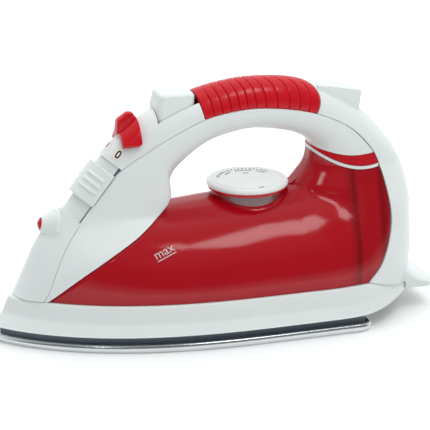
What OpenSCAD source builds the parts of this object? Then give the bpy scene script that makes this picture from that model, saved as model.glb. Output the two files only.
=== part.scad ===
// Toy iron: a hollow play iron with a loop handle, a see-through red tank and a working water squirt.
// Millimetres. The sole lies on z = 0, the nose points to -x, the heel to +x, y = 0 is the mirror plane.

/* [Base] */
// Half width of the tank foot at its widest
base_hw = 43.3; // [42.8:0.1:43.8]
// Length of the tank foot from its widest place to the nose
nose_len = 131; // [130:0.5:132]
// Sole plate edge beyond the tank foot
sole_out = 5; // [4.6:0.1:5.4]
// Sole plate thickness
sole_t = 3.3; // [3:0.1:3.6]
// Rear edge of the sole plate
sole_rear = 71; // [69:0.5:72]
// Spacer edge inside the sole edge
spacer_in = 4; // [3.5:0.1:4.5]
// Spacer height
spacer_h = 5.2; // [5:0.1:5.4]
// Skirt edge beyond the tank foot
skirt_out = 5.8; // [5.4:0.1:6.2]
// Height of the crease round the skirt
crease_z = 14.5; // [13.5:0.1:15.5]
// Skirt edge and floor thickness
skirt_t = 2.2; // [2:0.1:2.4]
// Height of the tank foot
foot_z = 22.5; // [22.2:0.1:22.8]
// Sole screw head radius
screw_r = 3.2; // [3:0.1:3.4]
// Steam vent radius in the sole
vent_r = 2; // [1.5:0.1:2.5]

/* [Shells] */
// Wall of the white shells
wall = 2.6; // [2.4:0.1:2.8]
// Wall of the tank
tank_wall = 2; // [1.8:0.1:2.2]
// Gap at a seam between two shells
seam_gap = 0.2; // [0.1:0.05:0.3]
// Tank face inside the white shells' faces
flush = 0.5; // [0.3:0.05:0.7]
// Half width of the handle
handle_hw = 14; // [13.7:0.1:14.3]
// Depth of a grip groove
groove_d = 0.7; // [0.5:0.05:0.9]
// Number of grip grooves
groove_n = 11; // [9:1:13]

/* [Dial] */
// Dial axis from the middle of the iron
dial_x = 20; // [19.5:0.1:20.5]
// Dial cap radius
dial_r = 20.6; // [20:0.1:21]
// Dial cap top
dial_top = 70.6; // [70.4:0.1:71]
// Dial cap thickness
cap_t = 3; // [2.8:0.1:3.2]
// Ring thickness under the cap
ring_t = 1.4; // [1.2:0.1:1.5]
// Collar radius
collar_r = 17.5; // [17:0.1:18]
// Collar depth
collar_h = 12; // [11:0.5:12.5]
// Spindle radius
spindle_r = 3.5; // [3.3:0.1:3.8]
// Radial play of a turning or sliding pin
pin_play = 0.06; // [0.03:0.01:0.09]
// Face play beside a moving piece
face_play = 0.4; // [0.35:0.05:0.5]
// Gap round a pressed or glued piece
snug = 0.05; // [0.03:0.01:0.08]

/* [Button and pump] */
// Button half width at its foot
button_hw = 9; // [8.7:0.1:9.2]
// Button travel
button_travel = 3; // [2.5:0.1:3.2]
// Pump axis
pump_x = -20.5; // [-20.7:0.1:-20.3]
// Pump foot height
pump_z = 89.5; // [89.3:0.1:89.7]
// Pump barrel radius
barrel_r = 4.5; // [4.4:0.1:4.6]
// Pump barrel height
barrel_h = 8; // [7.9:0.1:8.2]
// Pump bore radius
bore_r = 3.5; // [3.4:0.05:3.6]
// Spring coil radius
coil_r = 4; // [3.95:0.05:4.1]
// Spring wire radius
wire_r = 0.45; // [0.35:0.05:0.45]
// Spring turns
coil_n = 3; // [2:1:4]

/* [Lever and slider] */
// Slope of the spine under the lever
lever_slope = 37; // [36:0.5:38]
// Inner radius of the lever saddle
saddle_r = 12.3; // [12.2:0.05:12.5]
// Lever saddle thickness
saddle_t = 1.9; // [1.7:0.1:2.1]
// Lever swing to each side
lever_swing = 20; // [15:1:22]
// Slope of the spine under the slider
slide_slope = 51.6; // [51:0.1:52.2]
// Slider length
slide_len = 18.5; // [18.2:0.1:18.8]
// Slider thickness
slide_t = 3; // [2.8:0.1:3.2]
// Track depth under the spine face
track_d = 1.3; // [1.1:0.1:1.4]
// Slider travel toward the nose
slide_down = 8.5; // [8:0.1:9]
// Slider travel toward the lever
slide_up = 1; // [0.8:0.1:1.1]
// Nozzle radius
nozzle_r = 2.9; // [2.7:0.1:3]

/* [Hidden] */
$fn = 48;

white = [0.86, 0.88, 0.88];
red = [0.82, 0.08, 0.12];
tank_red = [0.68, 0.07, 0.12, 0.8];
slate = [0.22, 0.27, 0.32];
silver = [0.76, 0.78, 0.8];
steel = [0.6, 0.62, 0.65];
clear = [0.85, 0.85, 0.8];

// Plan of the foot: widest place, start of the stern, stern length
mid_x = 28;
stern_x = 48;
stern_len = 57;
spacer_z = sole_t;
floor_z = sole_t + spacer_h;

// Loop stations round the hand opening: outer point x z, inner point x z,
// handle half width, share of the widest place, inner roundness, share of the seam
loop = [
    [-101.5, foot_z, -88, foot_z, 14, 0.95, 10, 0.85],
    [-95.5, 36, -73, 35, 14, 0.95, 10, 0.52],
    [-89, 49.5, -57, 45.2, 14, 0.95, 10, 0.36],
    [-78, 63.6, -41, 53.5, 14, 0.93, 10, 0.29],
    [-67, 77.5, -29, 60.5, 14, 0.9, 8, 0.26],
    [-55.7, 91, -22.5, 67.5, 14, 0.8, 4, 0.27],
    [-43, 102.2, -21.5, 77, 14, 0.65, 2.6, 0.38],
    [-29, 111.2, -15, 85, 14, 0.55, 3, 0.45],
    [-9, 118.4, -3, 93, 14, 0.52, 3, 0.47],
    [7, 121.8, 10, 96.6, 14, 0.52, 3, 0.5],
    [23, 122.8, 22, 97.6, 14, 0.52, 3, 0.52],
    [44.6, 120.4, 38, 94.8, 14, 0.52, 3, 0.52],
    [64, 112, 47.5, 90.8, 14, 0.5, 2.7, 0.45],
    [83, 98.5, 52, 86.5, 15.5, 0.45, 2.3, 0.37],
    [98.5, 79, 51.8, 81, 17.2, 0.33, 2.3, 0.33],
    [104.5, 61.5, 46.2, 63.2, 20, 0.3, 2.3, 0.3],
    [105, 45, 43.3, 50, 30, 0.3, 2.3, 0.3],
    [104.3, 29, 21.6, 35.7, 36, 0.3, 2.3, 0.3],
    [103, 13, -5, 44.7, 38, 0.3, 2.3, 0.3]
];
grip_from = 8;
grip_to = 11.2;
grip_lean = 0.5;
// Half the gap beside the grip in loop stations
end_gap = 0.012;
leg_from = 12.5;
rear_end = len(loop) - 1;

// Side profile of the tank top, then the front edge of the neck above it
tops = [[-22, 62], [3, 63.8], [20, 64.8], [33, 65.2], [39, 65.9], [43, 67.4], [46, 69.8],
    [49.5, 74.5], [51.3, 79], [51.8, 83]];
necks = [[57, 38], [66, 43], [69.8, 46], [74.5, 49.5], [79, 51.3], [83, 51.8], [95, 52]];
neck_hw = 17.2;
neck_z = 76;
neck_mid = 75;
deck_max = 66;

function lerp(a, b, u) = a + (b - a) * u;
function smooth(u) = let(v = min(max(u, 0), 1)) v * v * (3 - 2 * v);
function smax(a, b, k) = (a + b + sqrt((a - b) * (a - b) + k * k)) / 2;
function row(A, i) = i < 0 ? 2 * A[0] - A[1] : i >= len(A) ? 2 * A[len(A) - 1] - A[len(A) - 2] : A[i];
function spline(a, b, c, d, u) =
    0.5 * (2 * b + (c - a) * u + (2 * a - 5 * b + 4 * c - d) * u * u + (3 * b - a - 3 * c + d) * u * u * u);
function at(A, t) =
    let(i = min(max(floor(t), 0), len(A) - 2))
    spline(row(A, i - 1), A[i], A[i + 1], row(A, i + 2), t - i);

// Half width of the foot at x, moved out by d
function plan(x, d = 0) =
    x < mid_x ? (base_hw + d) * pow(max(0, 1 - pow((mid_x - x) / (nose_len + 1.9 * d), 2.8)), 0.8)
    : x < stern_x ? base_hw + d
    : (base_hw + d) * sqrt(max(0, 1 - pow((x - stern_x) / (stern_len + d), 2.2)));
// Half width of the tank dome, of the neck behind the hand opening, and of both together
function deck(x) = min(lookup(x, tops), deck_max);
function dome(x, z) =
    let(q = min(max((z - foot_z) / (deck(x) - foot_z), 0), 1)) plan(x) * pow(max(0, 1 - pow(q, 1.85)), 0.56);
function neck(x, z) =
    let(f = lookup(z, necks), h = min(neck_hw + max(0, neck_z - z) * 0.5, plan(x) - 1.5))
    x <= f ? 0 : h * sqrt(max(0, 1 - pow(max(0, neck_mid - x) / (neck_mid - f), 2)));
function body(x, z) = min(smax(dome(x, z), neck(x, z), 10) - 1.2, plan(x));

// Point on the loop skin at station t, r from the outer point, e inside the skin
function loop_pt(t, r, e) =
    let(s = at(loop, t), d = norm([s[2] - s[0], s[3] - s[1]]), u = [s[2] - s[0], s[3] - s[1]] / d,
        a = s[5] * d, x = s[0] + u[0] * r, z = s[1] + u[1] * r,
        f = r <= a ? sqrt(max(0, 1 - pow(1 - (r - e) / (a - e), 2)))
            : pow(max(0, 1 - pow(min(1, (r - a) / (d - e - a)), s[6])), 1 / s[6]),
        m = s[7] * d, k = smooth(t - 13),
        w0 = k < 1 ? smax(dome(x, z), s[4] + handle_hw - 14, 5) - 1.2 : 0,
        w1 = k > 0 ? body(s[0] + u[0] * m, s[1] + u[1] * m) : 0)
    [x, (lerp(w0, w1, k) - e) * f, z];
function loop_d(t) = let(s = at(loop, t)) norm([s[2] - s[0], s[3] - s[1]]);
function seam_r(t) = at(loop, t)[7] * loop_d(t);
function side(p, k) = [p[0], k < 0 ? -p[1] : k > 0 ? p[1] : 0, p[2]];

// Triangles of a grid of nr rows and nc columns
function quads(nr, nc, o, flip) = [for (i = [0:nr - 2]) for (j = [0:nc - 2])
    each quad(o + i * nc + j, o + i * nc + j + 1, o + (i + 1) * nc + j + 1, o + (i + 1) * nc + j, flip)];
function quad(a, b, c, d, flip) = flip ? [[a, c, b], [a, d, c]] : [[a, b, c], [a, c, d]];
// Strips across an end row whose columns mirror each other
function cap(nc, o, flip) = [for (j = [0:(nc - 3) / 2])
    each j == (nc - 3) / 2 ? [flip ? [o + j, o + nc - 1 - j, o + j + 1] : [o + j, o + j + 1, o + nc - 1 - j]]
    : quad(o + j, o + j + 1, o + nc - 2 - j, o + nc - 1 - j, flip)];
function flat(A) = [for (r = A) each r];

// Curved sheet between an outer and an inner grid
module sheet(A, B) {
    nr = len(A);
    nc = len(A[0]);
    n = nr * nc;
    rims = [for (i = [0:nr - 2]) each concat(
        quad(i * nc, (i + 1) * nc, n + (i + 1) * nc, n + i * nc, false),
        quad(i * nc + nc - 1, (i + 1) * nc + nc - 1, n + (i + 1) * nc + nc - 1, n + i * nc + nc - 1, true))];
    z = (nr - 1) * nc;
    ends = [for (j = [0:nc - 2]) each concat(
        quad(j, j + 1, n + j + 1, n + j, true), quad(z + j, z + j + 1, n + z + j + 1, n + z + j, false))];
    polyhedron(concat(flat(A), flat(B)),
        concat(quads(nr, nc, 0, false), quads(nr, nc, n, true), rims, ends));
}

// Curved cup between two grids, with a wall across both ends and an open foot
module cup(A, B) {
    nr = len(A);
    nc = len(A[0]);
    n = nr * nc;
    z = (nr - 1) * nc;
    rims = [for (i = [0:nr - 2]) each concat(
        quad(i * nc, (i + 1) * nc, n + (i + 1) * nc, n + i * nc, false),
        quad(i * nc + nc - 1, (i + 1) * nc + nc - 1, n + (i + 1) * nc + nc - 1, n + i * nc + nc - 1, true))];
    feet = concat(quad(0, nc - 1, n + nc - 1, n, true), quad(z, z + nc - 1, n + z + nc - 1, n + z, false));
    polyhedron(concat(flat(A), flat(B)), concat(quads(nr, nc, 0, false), quads(nr, nc, n, true), rims,
        cap(nc, 0, true), cap(nc, n, false), cap(nc, z, false), cap(nc, n + z, true), feet));
}

// Ring swept round a closed path: A holds one closed profile for each place
module ring(A) {
    nr = len(A);
    nc = len(A[0]);
    polyhedron(flat(A), [for (i = [0:nr - 1]) for (j = [0:nc - 1]) each
        let(a = i * nc, b = ((i + 1) % nr) * nc, k = (j + 1) % nc) quad(a + j, a + k, b + k, b + j, false)]);
}

// Solid through a row of closed profiles, closed with strips at both ends
module loft(A) {
    nr = len(A);
    nc = len(A[0]);
    h = nc / 2;
    polyhedron(flat(A), concat([for (i = [0:nr - 2]) for (j = [0:nc - 1]) each
        quad(i * nc + j, i * nc + (j + 1) % nc, (i + 1) * nc + (j + 1) % nc, (i + 1) * nc + j, false)],
        [for (j = [0:h - 2]) each quad(j, j + 1, nc - 2 - j, nc - 1 - j, true)],
        [for (j = [0:h - 2]) each let(o = (nr - 1) * nc)
            quad(o + j, o + j + 1, o + nc - 2 - j, o + nc - 1 - j, false)]));
}

// Outline of the flat base plates: pointed nose, square heel with rounded corners
function nose_pts(d, n) = [for (i = [0:n]) let(s = 1 - pow(1 - i / n, 2))
    [mid_x - (nose_len + 1.9 * d) * s, (base_hw + d) * pow(max(0, 1 - pow(s, 2.8)), 0.8)]];
function corner_pts(d, rear, rc) = [for (a = [90:-18:0])
    [rear - rc + rc * cos(a), base_hw + d - rc + rc * sin(a)]];
function plate_half(d, rear, rc, n) = concat([for (i = [n:-1:0]) nose_pts(d, n)[i]], corner_pts(d, rear, rc));
module plate(d, rear, rc, n = 20) {
    h = plate_half(d, rear, rc, n);
    polygon(concat([for (p = h) [p[0], -p[1]]], [for (i = [len(h) - 1:-1:1]) h[i]]));
}
// Half outline closed over the mirror plane
module mirrored(h) polygon(concat([for (p = h) [p[0], -p[1]]], [for (i = [len(h) - 1:-1:0]) h[i]]));

screw_y = 0.554 * base_hw;
screw_at = [[mid_x - 0.687 * nose_len, 0], [45, -screw_y], [45, screw_y]];
rear_screw_x = 88;
screw_hole = screw_r - 1.3;
screw_play = 0.3;
screw_bite = 0.15;
head_z = 1.9;

module sole_plate() color(silver) difference() {
    union() {
        linear_extrude(sole_t - 0.9) plate(sole_out, sole_rear, 7);
        linear_extrude(sole_t) plate(sole_out - 0.8, sole_rear - 0.8, 6.5);
    }
    for (p = screw_at) translate([p[0], p[1], -1]) {
        cylinder(r = screw_hole, h = sole_t + 2);
        cylinder(r = screw_r + screw_play, h = head_z + 1);
    }
    for (i = [0:5]) for (k = [-1, 1]) translate([-80 + 20 * i, k * (7 + 4 * i), -1])
        cylinder(r = vent_r, h = sole_t + 2);
    for (i = [0:2]) translate([-92 + 8 * i, 0, -1]) cylinder(r = vent_r, h = sole_t + 2);
}

module sole_spacer() color(slate) difference() {
    translate([0, 0, spacer_z]) linear_extrude(spacer_h)
        plate(sole_out - spacer_in, sole_rear - spacer_in, 6);
    difference() {
        translate([0, 0, spacer_z + 1.8]) linear_extrude(spacer_h)
            plate(sole_out - spacer_in - 2.2, sole_rear - spacer_in - 2.2, 4);
        for (p = screw_at) translate([p[0], p[1], spacer_z]) cylinder(r = screw_r + 1.4, h = spacer_h);
    }
    for (p = screw_at) translate([p[0], p[1], spacer_z - 1]) cylinder(r = screw_hole, h = spacer_h + 2);
}

// Skirt: its foot climbs and its top falls toward the stern
stern_fall = (foot_z - 13) / 32.4;
skirt_in = 8;
function stern_k(x) = smooth((x - 62) / 36);
function skirt_top(x) = foot_z - seam_gap - max(0, x - 70.6) * stern_fall;
function skirt_foot(x) = floor_z - 0.2 + 2.7 * stern_k(x);
function skirt_place(front, s, k) =
    let(x0 = front ? mid_x - nose_len * s : stern_x + stern_len * s, g = stern_k(x0),
        zt = skirt_top(x0), zb = skirt_foot(x0), zc = lerp(zb, zt, (crease_z - floor_z) / (foot_z - floor_z)),
        o = lerp(skirt_out, 0.8, g), c = lerp(2.2, 0.6, g))
    [for (p = [[-skirt_in, zt], [c - 2.8, zc], [o - 3.2, zb], [o, zb], [c, zc], [0.6, zt]])
        front ? [mid_x - (nose_len + 1.9 * p[0]) * s,
            k * (base_hw + p[0]) * pow(max(0, 1 - pow(s, 2.8)), 0.8), p[1]]
        : [stern_x + (stern_len + p[0]) * s, k * (base_hw + p[0]) * sqrt(max(0, 1 - pow(s, 2.2))), p[1]]];
front_s = [for (i = [16:-1:0]) 1 - pow(1 - i / 16, 2)];
stern_s = [for (i = [0:10]) 1 - pow(1 - i / 10, 2)];
function stern_half() = [for (i = [0:10]) let(x = 66 + 34 * i / 10)
    [x, plan(x, lerp(1.5, -1, stern_k(x)))]];

module base_skirt() color(white) difference() {
    union() {
        ring(concat([for (s = front_s) skirt_place(true, s, -1)],
            [for (s = stern_s) skirt_place(false, s, -1)],
            [for (i = [9:-1:0]) skirt_place(false, stern_s[i], 1)],
            [for (i = [16:-1:1]) skirt_place(true, front_s[i], 1)]));
        translate([0, 0, floor_z]) linear_extrude(skirt_t) plate(2.9, 70, 6);
        translate([0, 0, floor_z + 1.7]) linear_extrude(skirt_t - 0.2) mirrored(stern_half());
    }
    for (p = screw_at) translate([p[0], p[1], floor_z - 1]) cylinder(r = screw_hole, h = skirt_t + 2);
    translate([rear_screw_x, 0, floor_z]) cylinder(r = screw_hole, h = 10);
}

// Tank: front border and rear border by height share, then the height of its top
borders = [[0, -88], [0.316, -73], [0.575, -57], [0.785, -41], [0.962, -29], [1, -22]];
rears = [[0, 70.6], [0.166, 79.5], [0.32, 84.2], [0.47, 86.5], [0.62, 87.4], [0.773, 87], [0.9, 86],
    [1, 84.85]];
function stripe_z(x) = 74.9 + 0.0148 * pow(77 - x, 2);
function band_z(x) = 81.6 + 0.0105 * pow(73 - x, 2);
stripe_h = 0.9;
crown = 0.1;
function tank_top(x) = x < 51.8 ? lookup(x, tops) : stripe_z(x) - stripe_h - seam_gap;
tank_x0 = borders[len(borders) - 1][1] + seam_gap * 2.4;
tank_x1 = rears[len(rears) - 1][1] - seam_gap;
tank_rows = [tank_x0, -8, 6, 20, 32, 39, 43, 46.5, 49.5, 51.3, 52.4, 54, 57, 62, 69, 76, tank_x1];
tank_cols = [0, 0.17, 0.33, 0.47, 0.6, 0.71, 0.8, 0.88, 0.94, 0.98, 1];
function tank_pt(xt, v, e) =
    let(s = (xt - tank_x0) / (tank_x1 - tank_x0), x0 = lookup(v, borders) + seam_gap * 2.4,
        x1 = lookup(v, rears) - seam_gap, x = lerp(x0, x1, s), z = foot_z + (tank_top(xt) - foot_z) * v,
        y = body(x, z) - flush)
    [lerp(x0 + 1.5 * e, x1 - e, s), max(e > 0 ? 0.5 : 1, y - e), foot_z + (tank_top(xt) - e - foot_z) * v];
function tank_row(xt, e) = concat([for (v = tank_cols) side(tank_pt(xt, v, e), -1)],
    [side(tank_pt(xt, 1, e), 0) + [0, 0, crown]],
    [for (i = [len(tank_cols) - 1:-1:0]) side(tank_pt(xt, tank_cols[i], e), 1)]);

collar_top = dial_top - cap_t - ring_t - face_play;
collar_foot = collar_top - collar_h;
suction_x = -32.5;
suction_y = -8.5;
tube_r = 1.5;
tube_play = 0.2;
spout_from = [-54.6, 0, 77.8];
spout_to = [-35.5, 0, 51.5];
spout_r = 4.4;
spout_play = 0.15;
spout_len = norm(spout_to - spout_from);
module on_spout() translate(spout_from)
    rotate([0, 90 + atan2(spout_from[2] - spout_to[2], spout_to[0] - spout_from[0]), 0]) children();

module tank_shell() color(tank_red) difference() {
    cup([for (x = tank_rows) tank_row(x, 0)], [for (x = tank_rows) tank_row(x, tank_wall)]);
    translate([dial_x, 0, collar_foot - 1]) cylinder(r = collar_r + 2 * snug, h = collar_h + 8);
    translate([suction_x, suction_y, web_z]) cylinder(r = tube_r + tube_play, h = web_h);
    on_spout() translate([0, 0, spout_len / 2]) cylinder(r = spout_r + spout_play, h = spout_len);
}

rib_x = 65.4;
rib_t = 1.6;
floor_t = 2;
floor_in = 6.2;
floor_x0 = mid_x - 0.817 * nose_len;
floor_half = [for (i = [0:24]) let(x = lerp(floor_x0, rib_x + rib_t, i / 24)) [x, plan(x) - floor_in]];
rib_h = 46;
rib_in = 0.6;
rib_half = [for (i = [0:10]) let(z = foot_z + 0.5 + rib_h * i / 10)
    [z, min(body(rib_x, z + tank_wall) - flush - tank_wall - rib_in, plan(rib_x + rib_t) - floor_in)]];
module tank_floor() color(tank_red) union() {
    difference() {
        union() {
            translate([0, 0, foot_z]) linear_extrude(floor_t) mirrored(floor_half);
            for (p = screw_at) translate([p[0], p[1], floor_z + skirt_t])
                cylinder(r = 4, h = foot_z + 1 - floor_z - skirt_t);
        }
        for (p = screw_at) translate([p[0], p[1], floor_z])
            cylinder(r = screw_hole - screw_bite, h = foot_z - floor_z - 1);
    }
    translate([rib_x, 0, 0]) rotate([0, -90, 0]) translate([0, 0, -rib_t])
        linear_extrude(rib_t) mirrored(rib_half);
}

// Lower shell: handle underside, front panels and the web along the tank
leg_n = 7;
leg_low = 84.1;
leg_high = 81.35;
leg_x1 = 51.9;
function leg_pt(g, e, lift) =
    let(x0 = lerp(leg_low, leg_high, lift), x = leg_x1 + e + (x0 - leg_x1 - e) * pow(1 - g, 2),
        y = body(x - e, lift < 1 ? stripe_z(x - e) : band_z(x - e)))
    [x, max(0.4, y - e), lerp(stripe_z(x), band_z(x), lift)];
function low_share(j) = 1 - pow(1 - j / leg_n, 1.8);
function low_pt(t, j, e) =
    let(d = loop_d(t), r0 = seam_r(t) + seam_gap / 2, g = low_share(j)) loop_pt(t, r0 + g * (d - e - r0), e);
function low_mix(q, j, e) = q <= 0 ? low_pt(leg_from, j, e)
    : lerp(low_pt(leg_from + 1.35 * q, j, e), leg_pt(j / leg_n, e, 1), pow(q, 3 - 2 * j / leg_n));
function low_any(f, j, e) = f < 0 ? low_pt(-f - 1, j, e) : low_mix(f, j, e);
function low_row(f, e) = concat([for (j = [0:leg_n]) side(low_any(f, j, e), j == leg_n ? 0 : -1)],
    [for (j = [leg_n - 1:-1:0]) side(low_any(f, j, e), 1)]);
low_rows = concat([for (t = [0:0.5:leg_from]) -t - 1], [0.33, 0.67, 1]);
shelf_t = 2;
web_z = 40;
web_h = 30;
shelf_hw = 7;
shelf_front = 8;
shelf_back = 6.3;

module lower_shell() color(white) difference() {
    union() {
        sheet([for (f = low_rows) low_row(f, wall)], [for (f = low_rows) low_row(f, 0)]);
        translate([pump_x - shelf_front, -shelf_hw, pump_z - shelf_t])
            cube([shelf_front + shelf_back, 2 * shelf_hw, shelf_t]);
    }
    translate([pump_x, 0, pump_z - shelf_t - 1]) cylinder(r = nipple_r + pin_play, h = shelf_t + 2);
    translate([suction_x, suction_y, web_z]) cylinder(r = tube_r + tube_play, h = web_h);
    on_spout() translate([0, 0, spout_len / 2]) cylinder(r = spout_r + spout_play, h = spout_len);
}

// Front cover: nose spine with the spray pod, the slider track, the lever seat and the button opening
cov_n = 6;
function cov_pt(t, j, e) =
    let(r1 = seam_r(t) - seam_gap / 2, q = pow(j / cov_n, 2)) loop_pt(t, e + (r1 - e) * q, e);
function cov_row(t, e) = concat([for (j = [cov_n:-1:0]) side(cov_pt(t, j, e), j == 0 ? 0 : -1)],
    [for (j = [1:cov_n]) side(cov_pt(t, j, e), 1)]);
// The grip's rear edge runs back from the top to the seam
function lean(j) = grip_lean * (1 - pow(1 - j / cov_n, 2));
pod_z = 57.8;
pod_x = -87.2;
pod_len = 12;
pod = [[0, 0], [3.4, 0], [3.8, 0.4], [5.2, 2.6], [6.8, 4.9], [8, 6.6], [7.6, 8], [6, 9.5],
    [6, pod_len], [0, pod_len]];
pod_tilt = -12;
pod_end = [pod_x + pod_len * cos(pod_tilt), 0, pod_z + pod_len * sin(pod_tilt)];
module on_pod() translate([pod_x, 0, pod_z]) rotate([0, 90 - pod_tilt, 0]) children();
// Frame of the lever: z along the spine, -x out of it
spine_r = 12;
slot_hw = 2.2;
lever_p = [-44.5, 0, 101];
module on_lever() translate(lever_p + spine_r * [sin(lever_slope), 0, -cos(lever_slope)])
    rotate([0, 90 - lever_slope, 0]) children();
module arc_ring(r0, r1, z0, z1, half) rotate([0, 0, 180 - half]) rotate_extrude(angle = 2 * half)
    polygon([[r0, z0], [r1, z0], [r1, z1], [r0, z1]]);
// Frame of the slider: z along the track, -x out of it
slide_off = 100.6;
track_from = 3;
track_to = 36;
track_side = 1.4;
slide_at = 13;
lug_hw = 1.5;
lug_len = 4;
lug_at = slide_at + slide_len - 5.5;
filler_at = slide_at + slide_len - 4.5;
module on_slide() translate([-slide_off * sin(slide_slope), 0, slide_off * cos(slide_slope)])
    rotate([0, 90 - slide_slope, 0]) children();
// Half width of the spine x under its top, moved out by o
function arch_y(x, o) = (13.25 + o) * sqrt(max(0, 1 - pow(1 - min(1, max(0, x + o) / (36.3 + o)), 2)));
function arch(o, x1, n) = [for (i = [-n:n]) let(x = -o + (x1 + o) * pow(i / n, 2))
    [x, sign(i) * arch_y(x, o)]];
function backwards(A) = [for (i = [len(A) - 1:-1:0]) A[i]];
arch_x = 9.6;

button_x0 = -28.9;
button_x1 = -9.9;
button_foot = 105;
module button_opening() translate([button_x0 - face_play, -button_hw - face_play, button_foot - 6])
    cube([button_x1 - button_x0 + 20, 2 * (button_hw + face_play), 30]);

module front_cover() color(white) difference() {
    union() {
        sheet([for (t = [0:0.5:grip_from]) cov_row(min(t, grip_from - end_gap), 0)],
            [for (t = [0:0.5:grip_from]) cov_row(min(t, grip_from - end_gap), wall)]);
        on_pod() rotate_extrude() polygon(pod);
    }
    on_pod() translate([0, 0, -1]) cylinder(r = nozzle_r + snug, h = 20);
    on_pod() translate([0, 0, -1]) cylinder(r = nozzle_r + 0.3, h = 1.3);
    on_slide() translate([0, 0, track_from]) linear_extrude(track_to - track_from)
        polygon(concat(arch(-track_d, arch_x + track_side, 8), [[arch_x + track_side, 20], [-12, 20],
            [-12, -20], [arch_x + track_side, -20]]));
    on_slide() translate([-1, -lug_hw - face_play, lug_at - slide_down - face_play])
        cube([7, 2 * (lug_hw + face_play), lug_len + slide_down + slide_up + 2 * face_play]);
    on_slide() translate([-1, 0, filler_at]) rotate([0, 90, 0]) cylinder(r = spout_r - 1.2, h = 9);
    on_lever() arc_ring(6, spine_r + 3, -slot_hw - face_play, slot_hw + face_play, lever_swing + 10);
    on_lever() arc_ring(spine_r + 0.02, spine_r + 4, -12, 8, 84);
    button_opening();
}

// Rear cover: back of the iron, cord outlet stub on top and heel flange below
rear_rows = [0, 0.06, 0.13, 0.2, 0.27, 0.34, 0.41, 0.48, 0.55, 0.62, 0.69, 0.76, 0.83, 0.89, 0.95, 1];
function rear_row(f, e) = concat(
    [for (j = [cov_n:-1:0]) side(rear_pt(f, j, e), j == 0 ? 0 : -1)],
    [for (j = [1:cov_n]) side(rear_pt(f, j, e), 1)]);
function rear_pt(f, j, e) = cov_pt(lerp(grip_to + end_gap + lean(j), rear_end, f), j, e);
stub = [[54.6, 109.5], [54.6, 117], [63, 115.6], [78.4, 112.5], [76.8, 102], [62, 107.5]];
stub_hw = 6.6;
heel_hw = 26;
heel_tip = 114;
heel_rc = 6;
function heel_edge(y) = let(q = max(0, abs(y) - heel_hw + heel_rc) / heel_rc)
    heel_tip - heel_rc * (1 - sqrt(max(0, 1 - q * q)));
heel_root = 99;
heel_z = 11.7;
heel_rows = [for (i = [-6:6]) sign(i) * heel_hw * sin(15 * abs(i))];
boss_z = floor_z + 1.5 + skirt_t;
boss_r = 4;
boss_h = 18;
boss_web = 14.5;
// Edge of the skirt at y, then a profile of the heel that clears it
function stern_edge(y) = stern_x + (stern_len + 0.8) * pow(1 - pow(y / (base_hw + 0.8), 2), 1 / 2.2);
function heel_row(y) = let(x = heel_edge(y), b = heel_root - 0.011 * y * y, s = stern_edge(y))
    [[b - 1, y, skirt_top(b - 1) + 3 * face_play], [s + face_play, y, skirt_top(s) + face_play],
        [s + 2 * face_play, y, heel_z], [x - 0.4, y, heel_z + 0.3], [x, y, heel_z + 1.1],
        [x - 0.6, y, heel_z + 2], [lerp(b, x, 0.55), y, 17.2], [lerp(b, x, 0.3), y, 20.2],
        [b + 0.5, y, 25], [b - 1, y, 25]];

module rear_cover() color(white) difference() {
    union() {
        sheet([for (f = rear_rows) rear_row(f, 0)], [for (f = rear_rows) rear_row(f, wall)]);
        rotate([90, 0, 0]) translate([0, 0, -stub_hw]) linear_extrude(2 * stub_hw) polygon(stub);
        loft([for (y = heel_rows) heel_row(y)]);
        translate([rear_screw_x, 0, boss_z]) cylinder(r = boss_r, h = boss_h);
        translate([rear_screw_x, -1, boss_z + 3]) cube([boss_web, 2, boss_h - 3]);
    }
    translate([rear_screw_x, 0, floor_z]) cylinder(r = screw_hole - screw_bite, h = boss_h);
}

// Grip: red half shell with cross grooves
groove_w = 0.16;
function groove_f(k, o) = (k + 1 + o) / (groove_n + 1);
grip_rows = concat([[0, 0]], [for (k = [0:groove_n - 1]) each [[groove_f(k, -groove_w), 0],
    [groove_f(k, 0), 1], [groove_f(k, groove_w), 0]]], [[1, 0]]);
function grip_pt(f, dep, j, e) =
    cov_pt(lerp(grip_from + end_gap, grip_to - end_gap + lean(j), f), j,
        e + (e > 0 ? 0 : dep * groove_d * min(1, j / 2)));
function grip_row(p, e) = concat([for (j = [cov_n:-1:0]) side(grip_pt(p[0], p[1], j, e), j == 0 ? 0 : -1)],
    [for (j = [1:cov_n]) side(grip_pt(p[0], p[1], j, e), 1)]);
module grip() color(red) sheet([for (p = grip_rows) grip_row(p, 0)], [for (p = grip_rows) grip_row(p, wall)]);

// Coloured bands between the handle's rear leg and the tank neck
function leg_row(lift, e, dz) = concat(
    [for (j = [0:leg_n]) side(leg_pt(j / leg_n, e, lift) + [0, 0, dz], j == leg_n ? 0 : -1)],
    [for (j = [leg_n - 1:-1:0]) side(leg_pt(j / leg_n, e, lift) + [0, 0, dz], 1)]);
module band(l0, l1, d0, d1) sheet(
    [leg_row(l1, wall, d1), leg_row((l0 + l1) / 2, wall, (d0 + d1) / 2), leg_row(l0, wall, d0)],
    [leg_row(l1, 0, d1), leg_row((l0 + l1) / 2, 0, (d0 + d1) / 2), leg_row(l0, 0, d0)]);
module stripe_red() color(red) band(0, 1, stripe_h + seam_gap / 2, -seam_gap);
module stripe_white() color(white) band(0, 0, -stripe_h, stripe_h - seam_gap / 2);

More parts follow.
